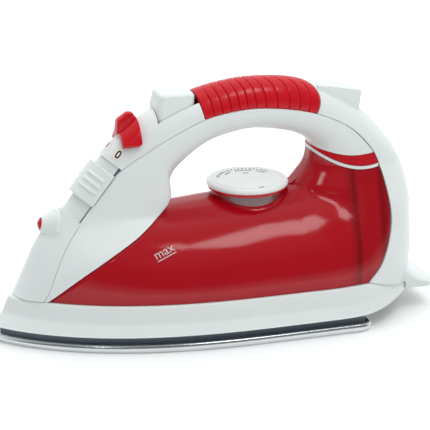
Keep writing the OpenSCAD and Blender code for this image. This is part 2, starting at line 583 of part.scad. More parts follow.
// Button with its hollow underside and the post on the piston
function button_sec(x, zt) = let(h = button_hw)
    [[x, -h, button_foot], [x, -h, zt - 5], [x, -h + 0.7, zt - 1.2],
    [x, -h + 1.8, zt], [x, h - 1.8, zt], [x, h - 0.7, zt - 1.2], [x, h, zt - 5], [x, h, button_foot]];
button_rows = [[button_x0, 112.5], [-28.6, 115.2], [-27.6, 117.7], [-25.6, 119.2], [-17, 119.4],
    [-10.6, 118.9], [button_x1, 118]];
flange_z = pump_z + 15.5;
flange_t = 1.5;
button_wall = 1.9;
post_r = 3.2;
post_top = 117;
module steam_button() color(white) union() {
    difference() {
        loft([for (p = button_rows) button_sec(p[0], p[1])]);
        translate([button_x0 + button_wall, -button_hw + button_wall, button_foot - 1])
            cube([button_x1 - button_x0 - 2 * button_wall, 2 * (button_hw - button_wall), 12.4]);
    }
    translate([pump_x, 0, flange_z + flange_t]) cylinder(r = post_r, h = post_top - flange_z - flange_t);
}

// Lever: red saddle with a thumb fin and a lug through the slot
fin = [[-48.4, 99.8], [-47.6, 106.8], [-42.4, 110.5], [-39.5, 110.2], [-38.6, 107.3], [-39.8, 106]];
fin_hw = 3.6;
fin_top = 2.2;
saddle_x0 = -50;
saddle_len = 10.8;
saddle_z = 96.3;
lug_r = 7;
lever_lug = 1.2;
module steam_lever() color(red) union() {
    intersection() {
        on_lever() arc_ring(saddle_r, saddle_r + saddle_t, -18, 12, 60);
        translate([saddle_x0, -saddle_r - 2 * saddle_t, saddle_z])
            cube([saddle_len, 2 * saddle_r + 4 * saddle_t, 2 * saddle_r]);
    }
    hull() for (p = [[fin_hw, [fin[0], fin[4], fin[5]]], [fin_top, fin]])
        rotate([90, 0, 0]) translate([0, 0, -p[0]]) linear_extrude(2 * p[0]) polygon(p[1]);
    on_lever() translate([-saddle_r - 0.6, -lever_lug, -slot_hw])
        cube([saddle_r + 0.6 - lug_r, 2 * lever_lug, 2 * slot_hw]);
}
module lever_clip() color(steel) difference() {
    on_lever() arc_ring(6.4, 8.1, -4, 4, 18);
    on_lever() translate([-saddle_r, -lever_lug - snug, -slot_hw - snug])
        cube([saddle_r, 2 * (lever_lug + snug), 2 * (slot_hw + snug)]);
}

// Slider with three finger ribs on each side of its top
clip_x = 6.2;
clip_t = 1.5;
finger_out = 0.7;
finger_in = 0.6;
finger_w = 1.6;
finger_x = 7.2;
function arch_side(o) = [for (i = [1:6]) let(x = -o + (finger_x + o) * pow(i / 6, 2)) [x, arch_y(x, o)]];
module fill_slider() color(white) union() {
    on_slide() translate([0, 0, slide_at]) linear_extrude(slide_len)
        polygon(concat(arch(slide_t - track_d, arch_x, 8), backwards(arch(face_play - track_d, arch_x, 8))));
    for (i = [0:2], k = [-1, 1]) on_slide() translate([0, 0, slide_at + 5.2 + 3.6 * i]) scale([1, k, 1])
        linear_extrude(finger_w) polygon(concat(arch_side(slide_t - track_d + finger_out),
            backwards(arch_side(slide_t - track_d - finger_in))));
    on_slide() translate([face_play - track_d, -lug_hw, lug_at])
        cube([clip_x + clip_t + track_d - face_play, 2 * lug_hw, lug_len]);
}
module slider_clip() color(steel) difference() {
    on_slide() translate([clip_x, -4.5, lug_at - 1.5]) cube([clip_t, 9, lug_len + 3]);
    on_slide() translate([0, -lug_hw - snug, lug_at - snug])
        cube([12, 2 * (lug_hw + snug), lug_len + 2 * snug]);
}

module spray_nozzle() color(red) on_pod() difference() {
    translate([0, 0, 0.5]) cylinder(r = nozzle_r, h = pod_len - 0.5);
    cylinder(r = 0.7, h = 14);
    translate([0, 0, 0.4]) cylinder(r1 = 1.8, r2 = 0.7, h = 1);
}

// Dial: cap, ring and spindle turn in the fixed collar
module on_dial() translate([dial_x, 0, 0]) children();
cap_foot = dial_top - cap_t;
module dial_cap() color(white) on_dial() rotate_extrude() polygon([[0, cap_foot], [dial_r - 0.7, cap_foot],
    [dial_r, cap_foot + 0.7], [dial_r, dial_top - 1.1], [dial_r - 0.4, dial_top - 0.4],
    [dial_r - 1.2, dial_top], [dial_r - 3, dial_top], [dial_r - 3.2, dial_top - 0.3],
    [dial_r - 3.4, dial_top], [0, dial_top]]);
module dial_ring() color(red) on_dial() translate([0, 0, cap_foot - ring_t])
    cylinder(r = dial_r - 0.9, h = ring_t);
module dial_collar() color(white) on_dial() difference() {
    translate([0, 0, collar_foot]) cylinder(r = collar_r, h = collar_h);
    translate([0, 0, collar_foot + 2.4]) cylinder(r = collar_r - 2, h = collar_h);
    translate([0, 0, collar_foot - 1]) cylinder(r = spindle_r + pin_play, h = 6);
}
wheel_t = 2.8;
wheel_r = 9;
wheel_z = collar_foot - face_play - wheel_t;
wheel_n = 12;
module dial_spindle() color(steel) on_dial() translate([0, 0, wheel_z - 1])
    cylinder(r = spindle_r, h = cap_foot - ring_t - wheel_z + 1);
module dial_wheel() color(white) on_dial() translate([0, 0, wheel_z]) difference() {
    cylinder(r = wheel_r, h = wheel_t);
    translate([0, 0, -1]) cylinder(r = spindle_r + snug, h = wheel_t + 2);
    for (i = [0:wheel_n - 1]) rotate([0, 0, 360 * i / wheel_n]) translate([wheel_r + 0.4, 0, -1])
        cylinder(r = 1.4, h = wheel_t + 2);
}
module dial_pawl() color(steel) on_dial() union() {
    translate([wheel_r + 1.6, -4, wheel_z - 0.6]) cube([1, 8, collar_foot - wheel_z + 0.6]);
    translate([wheel_r + 0.45, -0.6, wheel_z]) cube([1.6, 1.2, wheel_t]);
}

// Pump under the button
nipple_r = 2.6;
nipple_foot = pump_z - shelf_t - 1.5;
barrel_floor = 1.6;
seat_z = nipple_foot + 1.2;
seat_r = 1;
ball_r = 1.5;
ball_play = 0.2;
outlet_r = 0.8;
outlet_z = pump_z + 3.5;
head_h = 2.5;
head_foot = pump_z + barrel_h - head_h - 0.2;
rod_r = 1.8;
seal_z = head_foot + 0.8;
seal_h = 0.8;
seal_in = bore_r - 0.9;
module on_pump() translate([pump_x, 0, 0]) children();
module pump_barrel() color(clear) on_pump() difference() {
    union() {
        translate([0, 0, pump_z]) cylinder(r = barrel_r, h = barrel_h);
        translate([0, 0, nipple_foot]) cylinder(r = nipple_r, h = pump_z - nipple_foot + barrel_floor);
    }
    translate([0, 0, pump_z + barrel_floor]) cylinder(r = bore_r, h = barrel_h);
    translate([0, 0, seat_z]) cylinder(r = ball_r + ball_play, h = barrel_h);
    translate([0, 0, nipple_foot - 1]) cylinder(r = seat_r, h = barrel_h);
    translate([0, 0, outlet_z]) rotate([0, -90, 0]) cylinder(r = outlet_r, h = barrel_r + 1);
}
module pump_piston() color(white) on_pump() difference() {
    union() {
        translate([0, 0, head_foot]) cylinder(r = bore_r - pin_play, h = head_h);
        translate([0, 0, head_foot]) cylinder(r = rod_r, h = flange_z - head_foot + flange_t / 2);
        translate([0, 0, flange_z]) cylinder(r = coil_r + 0.8, h = flange_t);
    }
    translate([0, 0, seal_z - snug]) difference() {
        cylinder(r = bore_r + 1, h = seal_h + 2 * snug);
        cylinder(r = seal_in, h = seal_h + 2 * snug);
    }
}
module pump_seal() color(slate) on_pump() translate([0, 0, seal_z]) difference() {
    cylinder(r = bore_r - pin_play / 2, h = seal_h);
    translate([0, 0, -1]) cylinder(r = seal_in + snug, h = seal_h + 2);
}
spring_foot = pump_z + barrel_h + wire_r;
spring_top = flange_z - wire_r;
function coil_ring(a) = let(q = a / (360 * coil_n), z = lerp(spring_foot, spring_top, q))
    [for (b = [0:60:300]) [pump_x + (coil_r + wire_r * cos(b)) * cos(a), (coil_r + wire_r * cos(b)) * sin(a),
        z + wire_r * sin(b)]];
module pump_spring() color(steel) loft([for (a = [0:30:360 * coil_n]) coil_ring(a)]);
ball_z = seat_z + sqrt(ball_r * ball_r - seat_r * seat_r) + pin_play;
module inlet_ball() color(steel) on_pump() translate([0, 0, ball_z]) sphere(r = ball_r, $fn = 24);

// Tubes: rings of eight points along a bent path
function unit(v) = v / norm(v);
function tube_ring(P, i, r) =
    let(t = unit(P[min(i + 1, len(P) - 1)] - P[max(i - 1, 0)]), b = unit(cross(t, [0, 1, 0])),
        n = cross(b, t))
    [for (a = [0:45:315]) P[i] + r * (cos(a) * b + sin(a) * n)];
suction_path = [[pump_x, 0, nipple_foot - tube_play], [pump_x - 0.1, 0, nipple_foot - 1],
    [pump_x - 2.1, -0.6, nipple_foot - 2.2], [pump_x - 4.5, -2, nipple_foot - 4.2], [-28.5, -4.5, 79.5],
    [-31.5, -7.5, 75], [suction_x, suction_y, 69], [suction_x, suction_y, 60], [suction_x, suction_y, 44],
    [suction_x + 4, suction_y, 32], [suction_x + 8, suction_y, foot_z + 3]];
spray_path = [[pump_x - barrel_r - tube_play, 0, outlet_z], [pump_x - barrel_r - 2, 0.1, outlet_z - 0.1],
    [-31.5, 4, 89.5], [-38, 7.5, 82], [-50, 7.5, 69], [-63, 6, 59.5], pod_end + [6, 2.5, -0.5],
    pod_end + 1.5 * [cos(pod_tilt), 0, sin(pod_tilt)], pod_end + snug * [cos(pod_tilt), 0, sin(pod_tilt)]];
module tube(P) color(clear) loft([for (i = [0:len(P) - 1]) tube_ring(P, i, tube_r)]);
module suction_tube() tube(suction_path);
module spray_tube() tube(spray_path);
module filler_spout() color(clear) on_spout() difference() {
    cylinder(r = spout_r, h = spout_len);
    translate([0, 0, -1]) cylinder(r = spout_r - 1.2, h = spout_len + 2);
}

head_t = 1.6;
sole_screw_len = 18;
rear_screw_len = 16;
module screw(p, z, length) color(steel) translate([p[0], p[1], z]) difference() {
    union() {
        cylinder(r = screw_r, h = head_t);
        cylinder(r = screw_hole - screw_bite - snug, h = length);
    }
    for (a = [0, 90]) rotate([0, 0, a]) translate([-2, -0.4, -1]) cube([4, 0.8, 1.8]);
}
module sole_screw_front() screw(screw_at[0], head_z - head_t, sole_screw_len);
module sole_screw_left() screw(screw_at[1], head_z - head_t, sole_screw_len);
module sole_screw_right() screw(screw_at[2], head_z - head_t, sole_screw_len);
module rear_screw() screw([rear_screw_x, 0], floor_z + 1.7 - head_t, rear_screw_len);

sole_plate();
sole_spacer();
base_skirt();
tank_shell();
tank_floor();
lower_shell();
front_cover();
rear_cover();
grip();
stripe_red();
stripe_white();
steam_button();
steam_lever();
fill_slider();
spray_nozzle();
dial_cap();
dial_ring();
dial_collar();
dial_spindle();
dial_wheel();
dial_pawl();
pump_barrel();
pump_piston();
pump_seal();
pump_spring();
inlet_ball();
suction_tube();
spray_tube();
lever_clip();
slider_clip();
filler_spout();
sole_screw_front();
sole_screw_left();
sole_screw_right();
rear_screw();
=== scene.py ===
"""Looks of the toy iron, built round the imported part. Lengths of its pieces are in millimetres."""

import math

import bmesh
import bpy
import numpy as np
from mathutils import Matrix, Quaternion, Vector
from mathutils.bvhtree import BVHTree


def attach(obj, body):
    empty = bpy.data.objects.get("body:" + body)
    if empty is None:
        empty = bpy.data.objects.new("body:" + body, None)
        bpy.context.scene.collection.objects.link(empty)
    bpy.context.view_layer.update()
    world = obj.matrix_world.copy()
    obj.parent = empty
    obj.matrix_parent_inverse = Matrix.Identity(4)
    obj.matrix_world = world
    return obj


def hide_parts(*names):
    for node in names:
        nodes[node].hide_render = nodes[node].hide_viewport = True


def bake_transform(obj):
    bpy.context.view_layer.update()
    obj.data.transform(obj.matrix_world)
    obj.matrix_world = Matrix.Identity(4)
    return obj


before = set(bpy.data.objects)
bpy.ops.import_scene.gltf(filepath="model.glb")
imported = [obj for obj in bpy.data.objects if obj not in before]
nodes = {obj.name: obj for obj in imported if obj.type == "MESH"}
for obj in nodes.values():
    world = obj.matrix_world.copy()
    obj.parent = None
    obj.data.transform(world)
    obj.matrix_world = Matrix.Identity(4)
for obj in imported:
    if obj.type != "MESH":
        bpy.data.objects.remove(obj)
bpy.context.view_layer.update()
MM = 0.001

# Forms shared with the part
BASE_HW, NOSE_LEN, FOOT_Z = 43.3, 131.0, 22.5
MID_X, STERN_X, STERN_LEN = 28.0, 48.0, 57.0
NOSE_GROW, NOSE_POWER, NOSE_FULL, STERN_POWER = 1.9, 2.8, 0.8, 2.2
SEAM_GAP, FLUSH, SKIN_IN, WALL, TANK_WALL = 0.2, 0.5, 1.2, 2.6, 2.0
# Stations of the handle loop: outer x and z, inner x and z, half width, share of the depth where it is
# widest, squareness of its inner side, share of the depth where the seam runs
LOOP = np.array([
    [-101.5, FOOT_Z, -88, FOOT_Z, 14, 0.95, 10, 0.85],
    [-95.5, 36, -73, 35, 14, 0.95, 10, 0.52],
    [-89, 49.5, -57, 45.2, 14, 0.95, 10, 0.36],
    [-78, 63.6, -41, 53.5, 14, 0.93, 10, 0.29],
    [-67, 77.5, -29, 60.5, 14, 0.9, 8, 0.26],
    [-55.7, 91, -22.5, 67.5, 14, 0.8, 4, 0.27],
    [-43, 102.2, -21.5, 77, 14, 0.65, 2.6, 0.38],
    [-29, 111.2, -15, 85, 14, 0.55, 3, 0.45],
    [-9, 118.4, -3, 93, 14, 0.52, 3, 0.47],
    [7, 121.8, 10, 96.6, 14, 0.52, 3, 0.5],
    [23, 122.8, 22, 97.6, 14, 0.52, 3, 0.52],
    [44.6, 120.4, 38, 94.8, 14, 0.52, 3, 0.52],
    [64, 112, 47.5, 90.8, 14, 0.5, 2.7, 0.45],
    [83, 98.5, 52, 86.5, 15.5, 0.45, 2.3, 0.37],
    [98.5, 79, 51.8, 81, 17.2, 0.33, 2.3, 0.33],
    [104.5, 61.5, 46.2, 63.2, 20, 0.3, 2.3, 0.3],
    [105, 45, 43.3, 50, 30, 0.3, 2.3, 0.3],
    [104.3, 29, 21.6, 35.7, 36, 0.3, 2.3, 0.3],
    [103, 13, -5, 44.7, 38, 0.3, 2.3, 0.3],
])
GRIP_FROM, GRIP_TO, GRIP_LEAN, END_GAP = 8.0, 11.2, 0.5, 0.012
LEG_FROM, LEG_SPAN, BODY_FROM, REAR_END = 12.5, 1.35, 13, len(LOOP) - 1
# Height of the tank's deck by x, and the front of its neck by height
TOPS = np.array([[-22, 62], [3, 63.8], [20, 64.8], [33, 65.2], [39, 65.9], [43, 67.4], [46, 69.8],
                 [49.5, 74.5], [51.3, 79], [51.8, 83]])
NECKS = np.array([[57, 38], [66, 43], [69.8, 46], [74.5, 49.5], [79, 51.3], [83, 51.8], [95, 52]])
NECK_HW, NECK_Z, NECK_MID, NECK_X, DECK_MAX = 17.2, 76.0, 75.0, 51.8, 66.0
NECK_FLARE, NECK_INSET, NECK_SOFT = 0.57, 1.5, 8
# Front and rear ends of the tank by its share of height
BORDERS = np.array([[0, -88], [0.316, -73], [0.575, -57], [0.785, -41], [0.962, -29], [1, -22]])
REARS = np.array([[0, 70.6], [0.166, 79.5], [0.32, 84.2], [0.47, 86.5], [0.62, 87.4], [0.773, 87],
                  [0.9, 86], [1, 84.85]])
STRIPE_H = 0.9


def lerp(a, b, u):
    return a + (b - a) * u


def smooth(u):
    v = np.clip(u, 0, 1)
    return v * v * (3 - 2 * v)


def smax(a, b, k):
    return (a + b + np.sqrt((a - b) ** 2 + k * k)) / 2


def smin(a, b, k):
    return -smax(-a, -b, k)


def curve(table, x):
    """Smooth monotone curve through a table of x and y."""
    px, py = table[:, 0], table[:, 1]
    h = np.diff(px)
    d = np.diff(py) / h
    m = np.zeros(len(px))
    m[0], m[-1] = d[0], d[-1]
    for i in range(1, len(px) - 1):
        if d[i - 1] * d[i] > 0:
            w1, w2 = 2 * h[i] + h[i - 1], h[i] + 2 * h[i - 1]
            m[i] = (w1 + w2) / (w1 / d[i - 1] + w2 / d[i])
    x = np.clip(np.asarray(x, float), px[0], px[-1])
    i = np.clip(np.searchsorted(px, x, side="right") - 1, 0, len(h) - 1)
    u = (x - px[i]) / h[i]
    return ((2 * u**3 - 3 * u**2 + 1) * py[i] + (u**3 - 2 * u**2 + u) * h[i] * m[i]
            + (3 * u**2 - 2 * u**3) * py[i + 1] + (u**3 - u**2) * h[i] * m[i + 1])


def station(table, t):
    """Row of a table at t, counted in rows, on a smooth curve."""
    t = np.asarray(t, float)
    i = np.clip(np.floor(t).astype(int), 0, len(table) - 2)
    ends = np.vstack([2 * table[0] - table[1], table, 2 * table[-1] - table[-2]])
    a, b, c, d = ends[i], ends[i + 1], ends[i + 2], ends[i + 3]
    u = (t - i)[..., None]
    return 0.5 * (2 * b + (c - a) * u + (2 * a - 5 * b + 4 * c - d) * u**2 + (3 * b - a - 3 * c + d) * u**3)


def plan(x, d=0.0):
    """Half width of the foot's plan at x, d outside it."""
    x = np.asarray(x, float)
    ahead = np.maximum(0, MID_X - x) / (NOSE_LEN + NOSE_GROW * d)
    behind = np.maximum(0, x - STERN_X) / (STERN_LEN + d)
    nose = (BASE_HW + d) * np.maximum(0, 1 - ahead**NOSE_POWER) ** NOSE_FULL
    stern = (BASE_HW + d) * np.sqrt(np.maximum(0, 1 - behind**STERN_POWER))
    return np.where(x < MID_X, nose, stern)


def nose_pt(s, d, beak=0.0):
    """Point of the plan's edge at a share s of the nose."""
    return (MID_X - (NOSE_LEN + NOSE_GROW * d + beak) * s,
            (BASE_HW + d) * max(0, 1 - s**NOSE_POWER) ** NOSE_FULL)


def stern_pt(s, d):
    return STERN_X + (STERN_LEN + d) * s, (BASE_HW + d) * math.sqrt(max(0, 1 - s**STERN_POWER))


def deck(x):
    return smin(curve(TOPS, x), DECK_MAX, 0.5)


def dome(x, z):
    q = np.clip((z - FOOT_Z) / (deck(x) - FOOT_Z), 0, 1)
    return plan(x) * np.maximum(0, 1 - q**1.85) ** 0.56


def neck(x, z):
    """Half width of the neck, round in front at its top and drawn out toward the deck."""
    f = curve(NECKS, z)
    h = smin(NECK_HW + np.maximum(0, NECK_Z - z) * NECK_FLARE, plan(x) - NECK_INSET, NECK_SOFT)
    power = lerp(0.5, 1.4, smooth((67 - z) / 9))
    rise = np.maximum(0, 1 - (np.maximum(0, NECK_MID - x) / (NECK_MID - f)) ** 2) ** power
    return np.where(x <= f, 0, h * rise)


def body(x, z):
    """Half width of dome and neck in one, with a tighter fillet where the neck is full."""
    k = lerp(10, 5, smooth((x - 46) / 16))
    return smin(smax(dome(x, z), neck(x, z), k) - SKIN_IN, plan(x), 0.6)


def loop_frame(t):
    s = station(LOOP, t)
    v = s[..., 2:4] - s[..., 0:2]
    d = np.linalg.norm(v, axis=-1)
    return s, v / d[..., None], d


def loop_pt(t, r, e=0.0):
    """Point on the loop skin at station t, r from the outer point, e inside the skin."""
    t, r, e = np.broadcast_arrays(np.asarray(t, float), np.asarray(r, float), np.asarray(e, float))
    s, u, d = loop_frame(t)
    a = s[..., 5] * d
    x, z = s[..., 0] + u[..., 0] * r, s[..., 1] + u[..., 1] * r
    p = s[..., 6]
    front = np.sqrt(np.clip(1 - (1 - (r - e) / (a - e)) ** 2, 0, 1))
    back = np.maximum(0, 1 - np.clip((r - a) / (d - e - a), 0, 1) ** p) ** (1 / p)
    f = np.where(r <= a, front, back)
    m = s[..., 7] * d
    w0 = smax(dome(x, z), s[..., 4], 5) - SKIN_IN
    w1 = body(s[..., 0] + u[..., 0] * m, s[..., 1] + u[..., 1] * m)
    return np.stack([x, (lerp(w0, w1, smooth(t - BODY_FROM)) - e) * f, z], -1)


def loop_d(t):
    return loop_frame(np.asarray(t, float))[2]


def seam_r(t):
    s, _, d = loop_frame(np.asarray(t, float))
    return s[..., 7] * d


def lip(d, r):
    """Drop of a rounded edge at distance d from it."""
    q = np.clip(1 - d / r, 0, 1)
    return r * (1 - np.sqrt(1 - q * q))


def runs(n, edge):
    """Shares from 0 to 1, with closer steps at the ends for a rounded edge."""
    steps = np.array([0.0, 0.12, 0.3, 0.6, 1.0]) * edge
    return np.concatenate([steps[:-1], np.linspace(edge, 1 - edge, n), 1 - steps[-2::-1]])


# Meshes
SHARP = 35.0


def link(name, data):
    obj = bpy.data.objects.new(name, data)
    bpy.context.scene.collection.objects.link(obj)
    return obj


def finish_mesh(mesh, sharp):
    mesh.polygons.foreach_set("use_smooth", [True] * len(mesh.polygons))
    mesh.set_sharp_from_angle(angle=math.radians(sharp))
    mesh.update()


def solid(name, verts, faces, sharp=SHARP):
    """Smooth object from points in millimetres."""
    mesh = bpy.data.meshes.new(name)
    mesh.from_pydata((np.asarray(verts, float) * MM).tolist(), [], [list(map(int, f)) for f in faces])
    bm = bmesh.new()
    bm.from_mesh(mesh)
    bmesh.ops.remove_doubles(bm, verts=bm.verts, dist=2e-6)
    bmesh.ops.dissolve_degenerate(bm, edges=bm.edges, dist=1e-7)
    bmesh.ops.recalc_face_normals(bm, faces=bm.faces)
    bm.to_mesh(mesh)
    bm.free()
    finish_mesh(mesh, sharp)
    return link(name, mesh)


def grid_faces(nr, nc, o=0, wrap_r=False, wrap_c=False):
    rows, columns = np.arange(nr if wrap_r else nr - 1), np.arange(nc if wrap_c else nc - 1)
    i, j = (m.ravel() for m in np.meshgrid(rows, columns, indexing="ij"))
    k, l = (i + 1) % nr, (j + 1) % nc
    return (o + np.stack([i * nc + j, i * nc + l, k * nc + l, k * nc + j], 1)).tolist()


def stack(name, rings, sharp=SHARP):
    """Solid through a row of closed rings, with flat ends."""
    A = np.array(rings)
    nr, nc = A.shape[:2]
    faces = grid_faces(nr, nc, wrap_c=True) + [list(range(nc)), list(range((nr - 1) * nc, nr * nc))]
    return solid(name, A.reshape(-1, 3), faces, sharp)


def hoop(name, rings, sharp=SHARP):
    """Solid through closed rings, the last of which joins the first."""
    A = np.array(rings)
    nr, nc = A.shape[:2]
    return solid(name, A.reshape(-1, 3), grid_faces(nr, nc, wrap_r=True, wrap_c=True), sharp)


def sheet(name, A, B, sharp=SHARP):
    """Closed shell between an outer and an inner grid."""
    nr, nc = A.shape[:2]
    n = nr * nc
    faces = grid_faces(nr, nc) + grid_faces(nr, nc, n)
    rim = [i * nc for i in range(nr)] + [(nr - 1) * nc + j for j in range(1, nc)]
    rim += [i * nc + nc - 1 for i in range(nr - 2, -1, -1)] + [j for j in range(nc - 2, 0, -1)]
    faces += [[a, b, n + b, n + a] for a, b in zip(rim, rim[1:] + rim[:1])]
    return solid(name, np.vstack([A.reshape(-1, 3), B.reshape(-1, 3)]), faces, sharp)


def mirror_grid(half):
    """Grid over both sides from columns that run from the mirror plane outward."""
    left = half[:, ::-1].copy()
    left[..., 1] *= -1
    left[:, -1, 1] = 0
    return np.concatenate([left, half[:, 1:]], 1)


def lathe(name, profile, place, n=96, sharp=SHARP):
    """Solid of revolution of a profile of radius and height, closed on its axis."""
    angles = np.linspace(0, 2 * np.pi, n, endpoint=False)
    pts, faces, rows = [], [], []
    for r, z in profile:
        if r <= 1e-6:
            rows.append([len(pts)])
            pts.append([0, 0, z])
        else:
            rows.append(list(range(len(pts), len(pts) + n)))
            pts += [[r * math.cos(a), r * math.sin(a), z] for a in angles]
    for p, q in zip(rows, rows[1:]):
        for i in range(n):
            k = (i + 1) % n
            if len(p) == 1:
                faces.append([p[0], q[i], q[k]])
            elif len(q) == 1:
                faces.append([p[i], p[k], q[0]])
            else:
                faces.append([p[i], p[k], q[k], q[i]])
    return solid(name, np.array([place(np.array(p, float)) for p in pts]), faces, sharp)


def boolean(obj, cutter, operation="DIFFERENCE", sharp=SHARP):
    """Applies an exact boolean and removes the cutter."""
    mod = obj.modifiers.new("cut", "BOOLEAN")
    mod.operation, mod.solver, mod.object = operation, "EXACT", cutter
    cutter.hide_render = True
    bpy.context.view_layer.update()
    mesh = bpy.data.meshes.new_from_object(obj.evaluated_get(bpy.context.evaluated_depsgraph_get()))
    obj.modifiers.clear()
    old, obj.data = obj.data, mesh
    bpy.data.meshes.remove(old)
    bpy.data.objects.remove(cutter)
    finish_mesh(obj.data, sharp)
    return obj


def box(name, low, high, place=np.array):
    corners = [(x, y, z) for x in (low[0], high[0]) for y in (low[1], high[1]) for z in (low[2], high[2])]
    faces = [[0, 1, 3, 2], [4, 6, 7, 5], [0, 4, 5, 1], [2, 3, 7, 6], [0, 2, 6, 4], [1, 5, 7, 3]]
    return solid(name, [place(p) for p in corners], faces)


def prism(name, outline, low, high, place):
    """Extrusion of a closed outline of x and y from z low to high, put in place."""
    n = len(outline)
    pts = [place(np.array([p[0], p[1], z], float)) for z in (low, high) for p in outline]
    faces = [list(range(n)), list(range(2 * n - 1, n - 1, -1))]
    faces += [[i, (i + 1) % n, n + (i + 1) % n, n + i] for i in range(n)]
    return solid(name, np.array(pts), faces)


def round_edges(obj, width, segments=3):
    """Bevels the sharp edges of a simple solid."""
    bm = bmesh.new()
    bm.from_mesh(obj.data)
    edges = [e for e in bm.edges if len(e.link_faces) == 2 and e.calc_face_angle(0) > math.radians(30)]
    bmesh.ops.bevel(bm, geom=edges, offset=width * MM, segments=segments, profile=0.5, affect="EDGES",
                    clamp_overlap=True)
    bm.to_mesh(obj.data)
    bm.free()
    finish_mesh(obj.data, 40)


# Places along the spine
def turned(origin, deg):
    """Frame whose z runs along +x and up at an angle, and whose -x points out of the spine."""
    a = math.radians(deg)
    z = np.array([math.cos(a), 0, math.sin(a)])
    x = np.array([math.sin(a), 0, -math.cos(a)])
    o = np.array(origin, float)
    return lambda p: o + p[0] * x + np.array([0, p[1], 0]) + p[2] * z


def shifted(x, y=0.0):
    return lambda p: p + np.array([x, y, 0])


SLIDE_SLOPE, SLIDE_OFF = 51.6, 100.6
slide_a = math.radians(SLIDE_SLOPE)
on_slide = turned((-SLIDE_OFF * math.sin(slide_a), 0, SLIDE_OFF * math.cos(slide_a)), SLIDE_SLOPE)
LEVER_X, LEVER_Z, LEVER_SLOPE, SPINE_R = -44.5, 101, 37.0, 12.0
lever_a = math.radians(LEVER_SLOPE)
lever_o = (LEVER_X + SPINE_R * math.sin(lever_a), 0, LEVER_Z - SPINE_R * math.cos(lever_a))
on_lever = turned(lever_o, LEVER_SLOPE)
POD_X, POD_Z, POD_TILT = -87.2, 57.8, -12.0
on_pod = turned((POD_X, 0, POD_Z), POD_TILT)


# Materials
def add(tree, kind, **inputs):
    """Shader node with inputs set to values or linked to sockets."""
    node = tree.nodes.new("ShaderNode" + kind)
    for key, value in inputs.items():
        socket = node.inputs[key.replace("_", " ")]
        if isinstance(value, bpy.types.NodeSocket):
            tree.links.new(value, socket)
        else:
            socket.default_value = value
    return node


def join(tree, operation, a, b):
    """Output of a math node over two sockets."""
    node = add(tree, "Math")
    node.operation = operation
    tree.links.new(a, node.inputs[0])
    tree.links.new(b, node.inputs[1])
    return node.outputs["Value"]


def material(name, colour, rough, metallic=0.0, grain=0.0, mottle=0.03, **sockets):
    """Plastic or metal with a fine moulded grain and a slight mottle in colour and gloss."""
    mat = bpy.data.materials.new(name)
    mat.use_nodes = True
    tree = mat.node_tree
    bsdf = tree.nodes["Principled BSDF"]
    bsdf.inputs["Metallic"].default_value = metallic
    for key, value in sockets.items():
        bsdf.inputs[key.replace("_", " ")].default_value = value
    where = add(tree, "TexCoord").outputs["Object"]
    cloud = add(tree, "TexNoise", Vector=where, Scale=55.0, Detail=4.0).outputs["Fac"]
    ramp = add(tree, "ValToRGB", Fac=cloud)
    dark, light = ramp.color_ramp.elements
    dark.position, light.position = 0.3, 0.7
    dark.color = [c * (1 - mottle) for c in colour] + [1]
    light.color = [min(1, c * (1 + mottle)) for c in colour] + [1]
    tree.links.new(ramp.outputs["Color"], bsdf.inputs["Base Color"])
    gloss = add(tree, "MapRange", Value=cloud, To_Min=rough * 0.88, To_Max=rough * 1.12)
    tree.links.new(gloss.outputs["Result"], bsdf.inputs["Roughness"])
    if grain:
        fine = add(tree, "TexNoise", Vector=where, Scale=900.0, Detail=2.0).outputs["Fac"]
        bump = add(tree, "Bump", Strength=grain, Distance=0.0002, Height=fine)
        tree.links.new(bump.outputs["Normal"], bsdf.inputs["Normal"])
    return mat


white = material("white_plastic", (0.77, 0.815, 0.8), 0.3, grain=0.05, mottle=0.012)
red = material("red_plastic", (0.56, 0.006, 0.014), 0.2, grain=0.02, Specular_IOR_Level=0.3)
gloss_white = material("gloss_white", (0.84, 0.87, 0.85), 0.16, mottle=0.01)
stripe_red = material("stripe_red", (0.52, 0.005, 0.013), 0.3, grain=0.02, Specular_IOR_Level=0.1)
tank_red = material("tank_red", (0.54, 0.004, 0.014), 0.12, mottle=0.02, Transmission_Weight=0.28, IOR=1.46,
                    Specular_IOR_Level=0.36)
# The collar's greyish pink is painted reflection and painted shade under the dial cap, over red plastic like
# the tank's.
collar_painted_reflection = material("collar_painted_reflection", (0.26, 0.15, 0.155), 0.14, mottle=0.04, Transmission_Weight=0.15,
                      Specular_IOR_Level=0.7)
slate = material("slate_plastic", (0.09, 0.118, 0.145), 0.42, grain=0.1, mottle=0.05)
silver = material("silver_plastic", (0.74, 0.76, 0.77), 0.2, metallic=1.0, mottle=0.02)
steel = material("steel", (0.5, 0.51, 0.53), 0.28, metallic=1.0, grain=0.05)
clear = material("clear_plastic", (0.8, 0.8, 0.76), 0.12, mottle=0.01, Transmission_Weight=0.6)
rubber = material("rubber", (0.03, 0.03, 0.03), 0.7, grain=0.1)
ink = material("ink", (0.1, 0.11, 0.13), 0.5, mottle=0.05)
black_ink = material("black_ink", (0.02, 0.02, 0.02), 0.5, mottle=0.05)
print_grey = material("print_grey", (0.55, 0.52, 0.52), 0.5, mottle=0.04)
label = material("label", (0.84, 0.78, 0.7), 0.45, mottle=0.02)


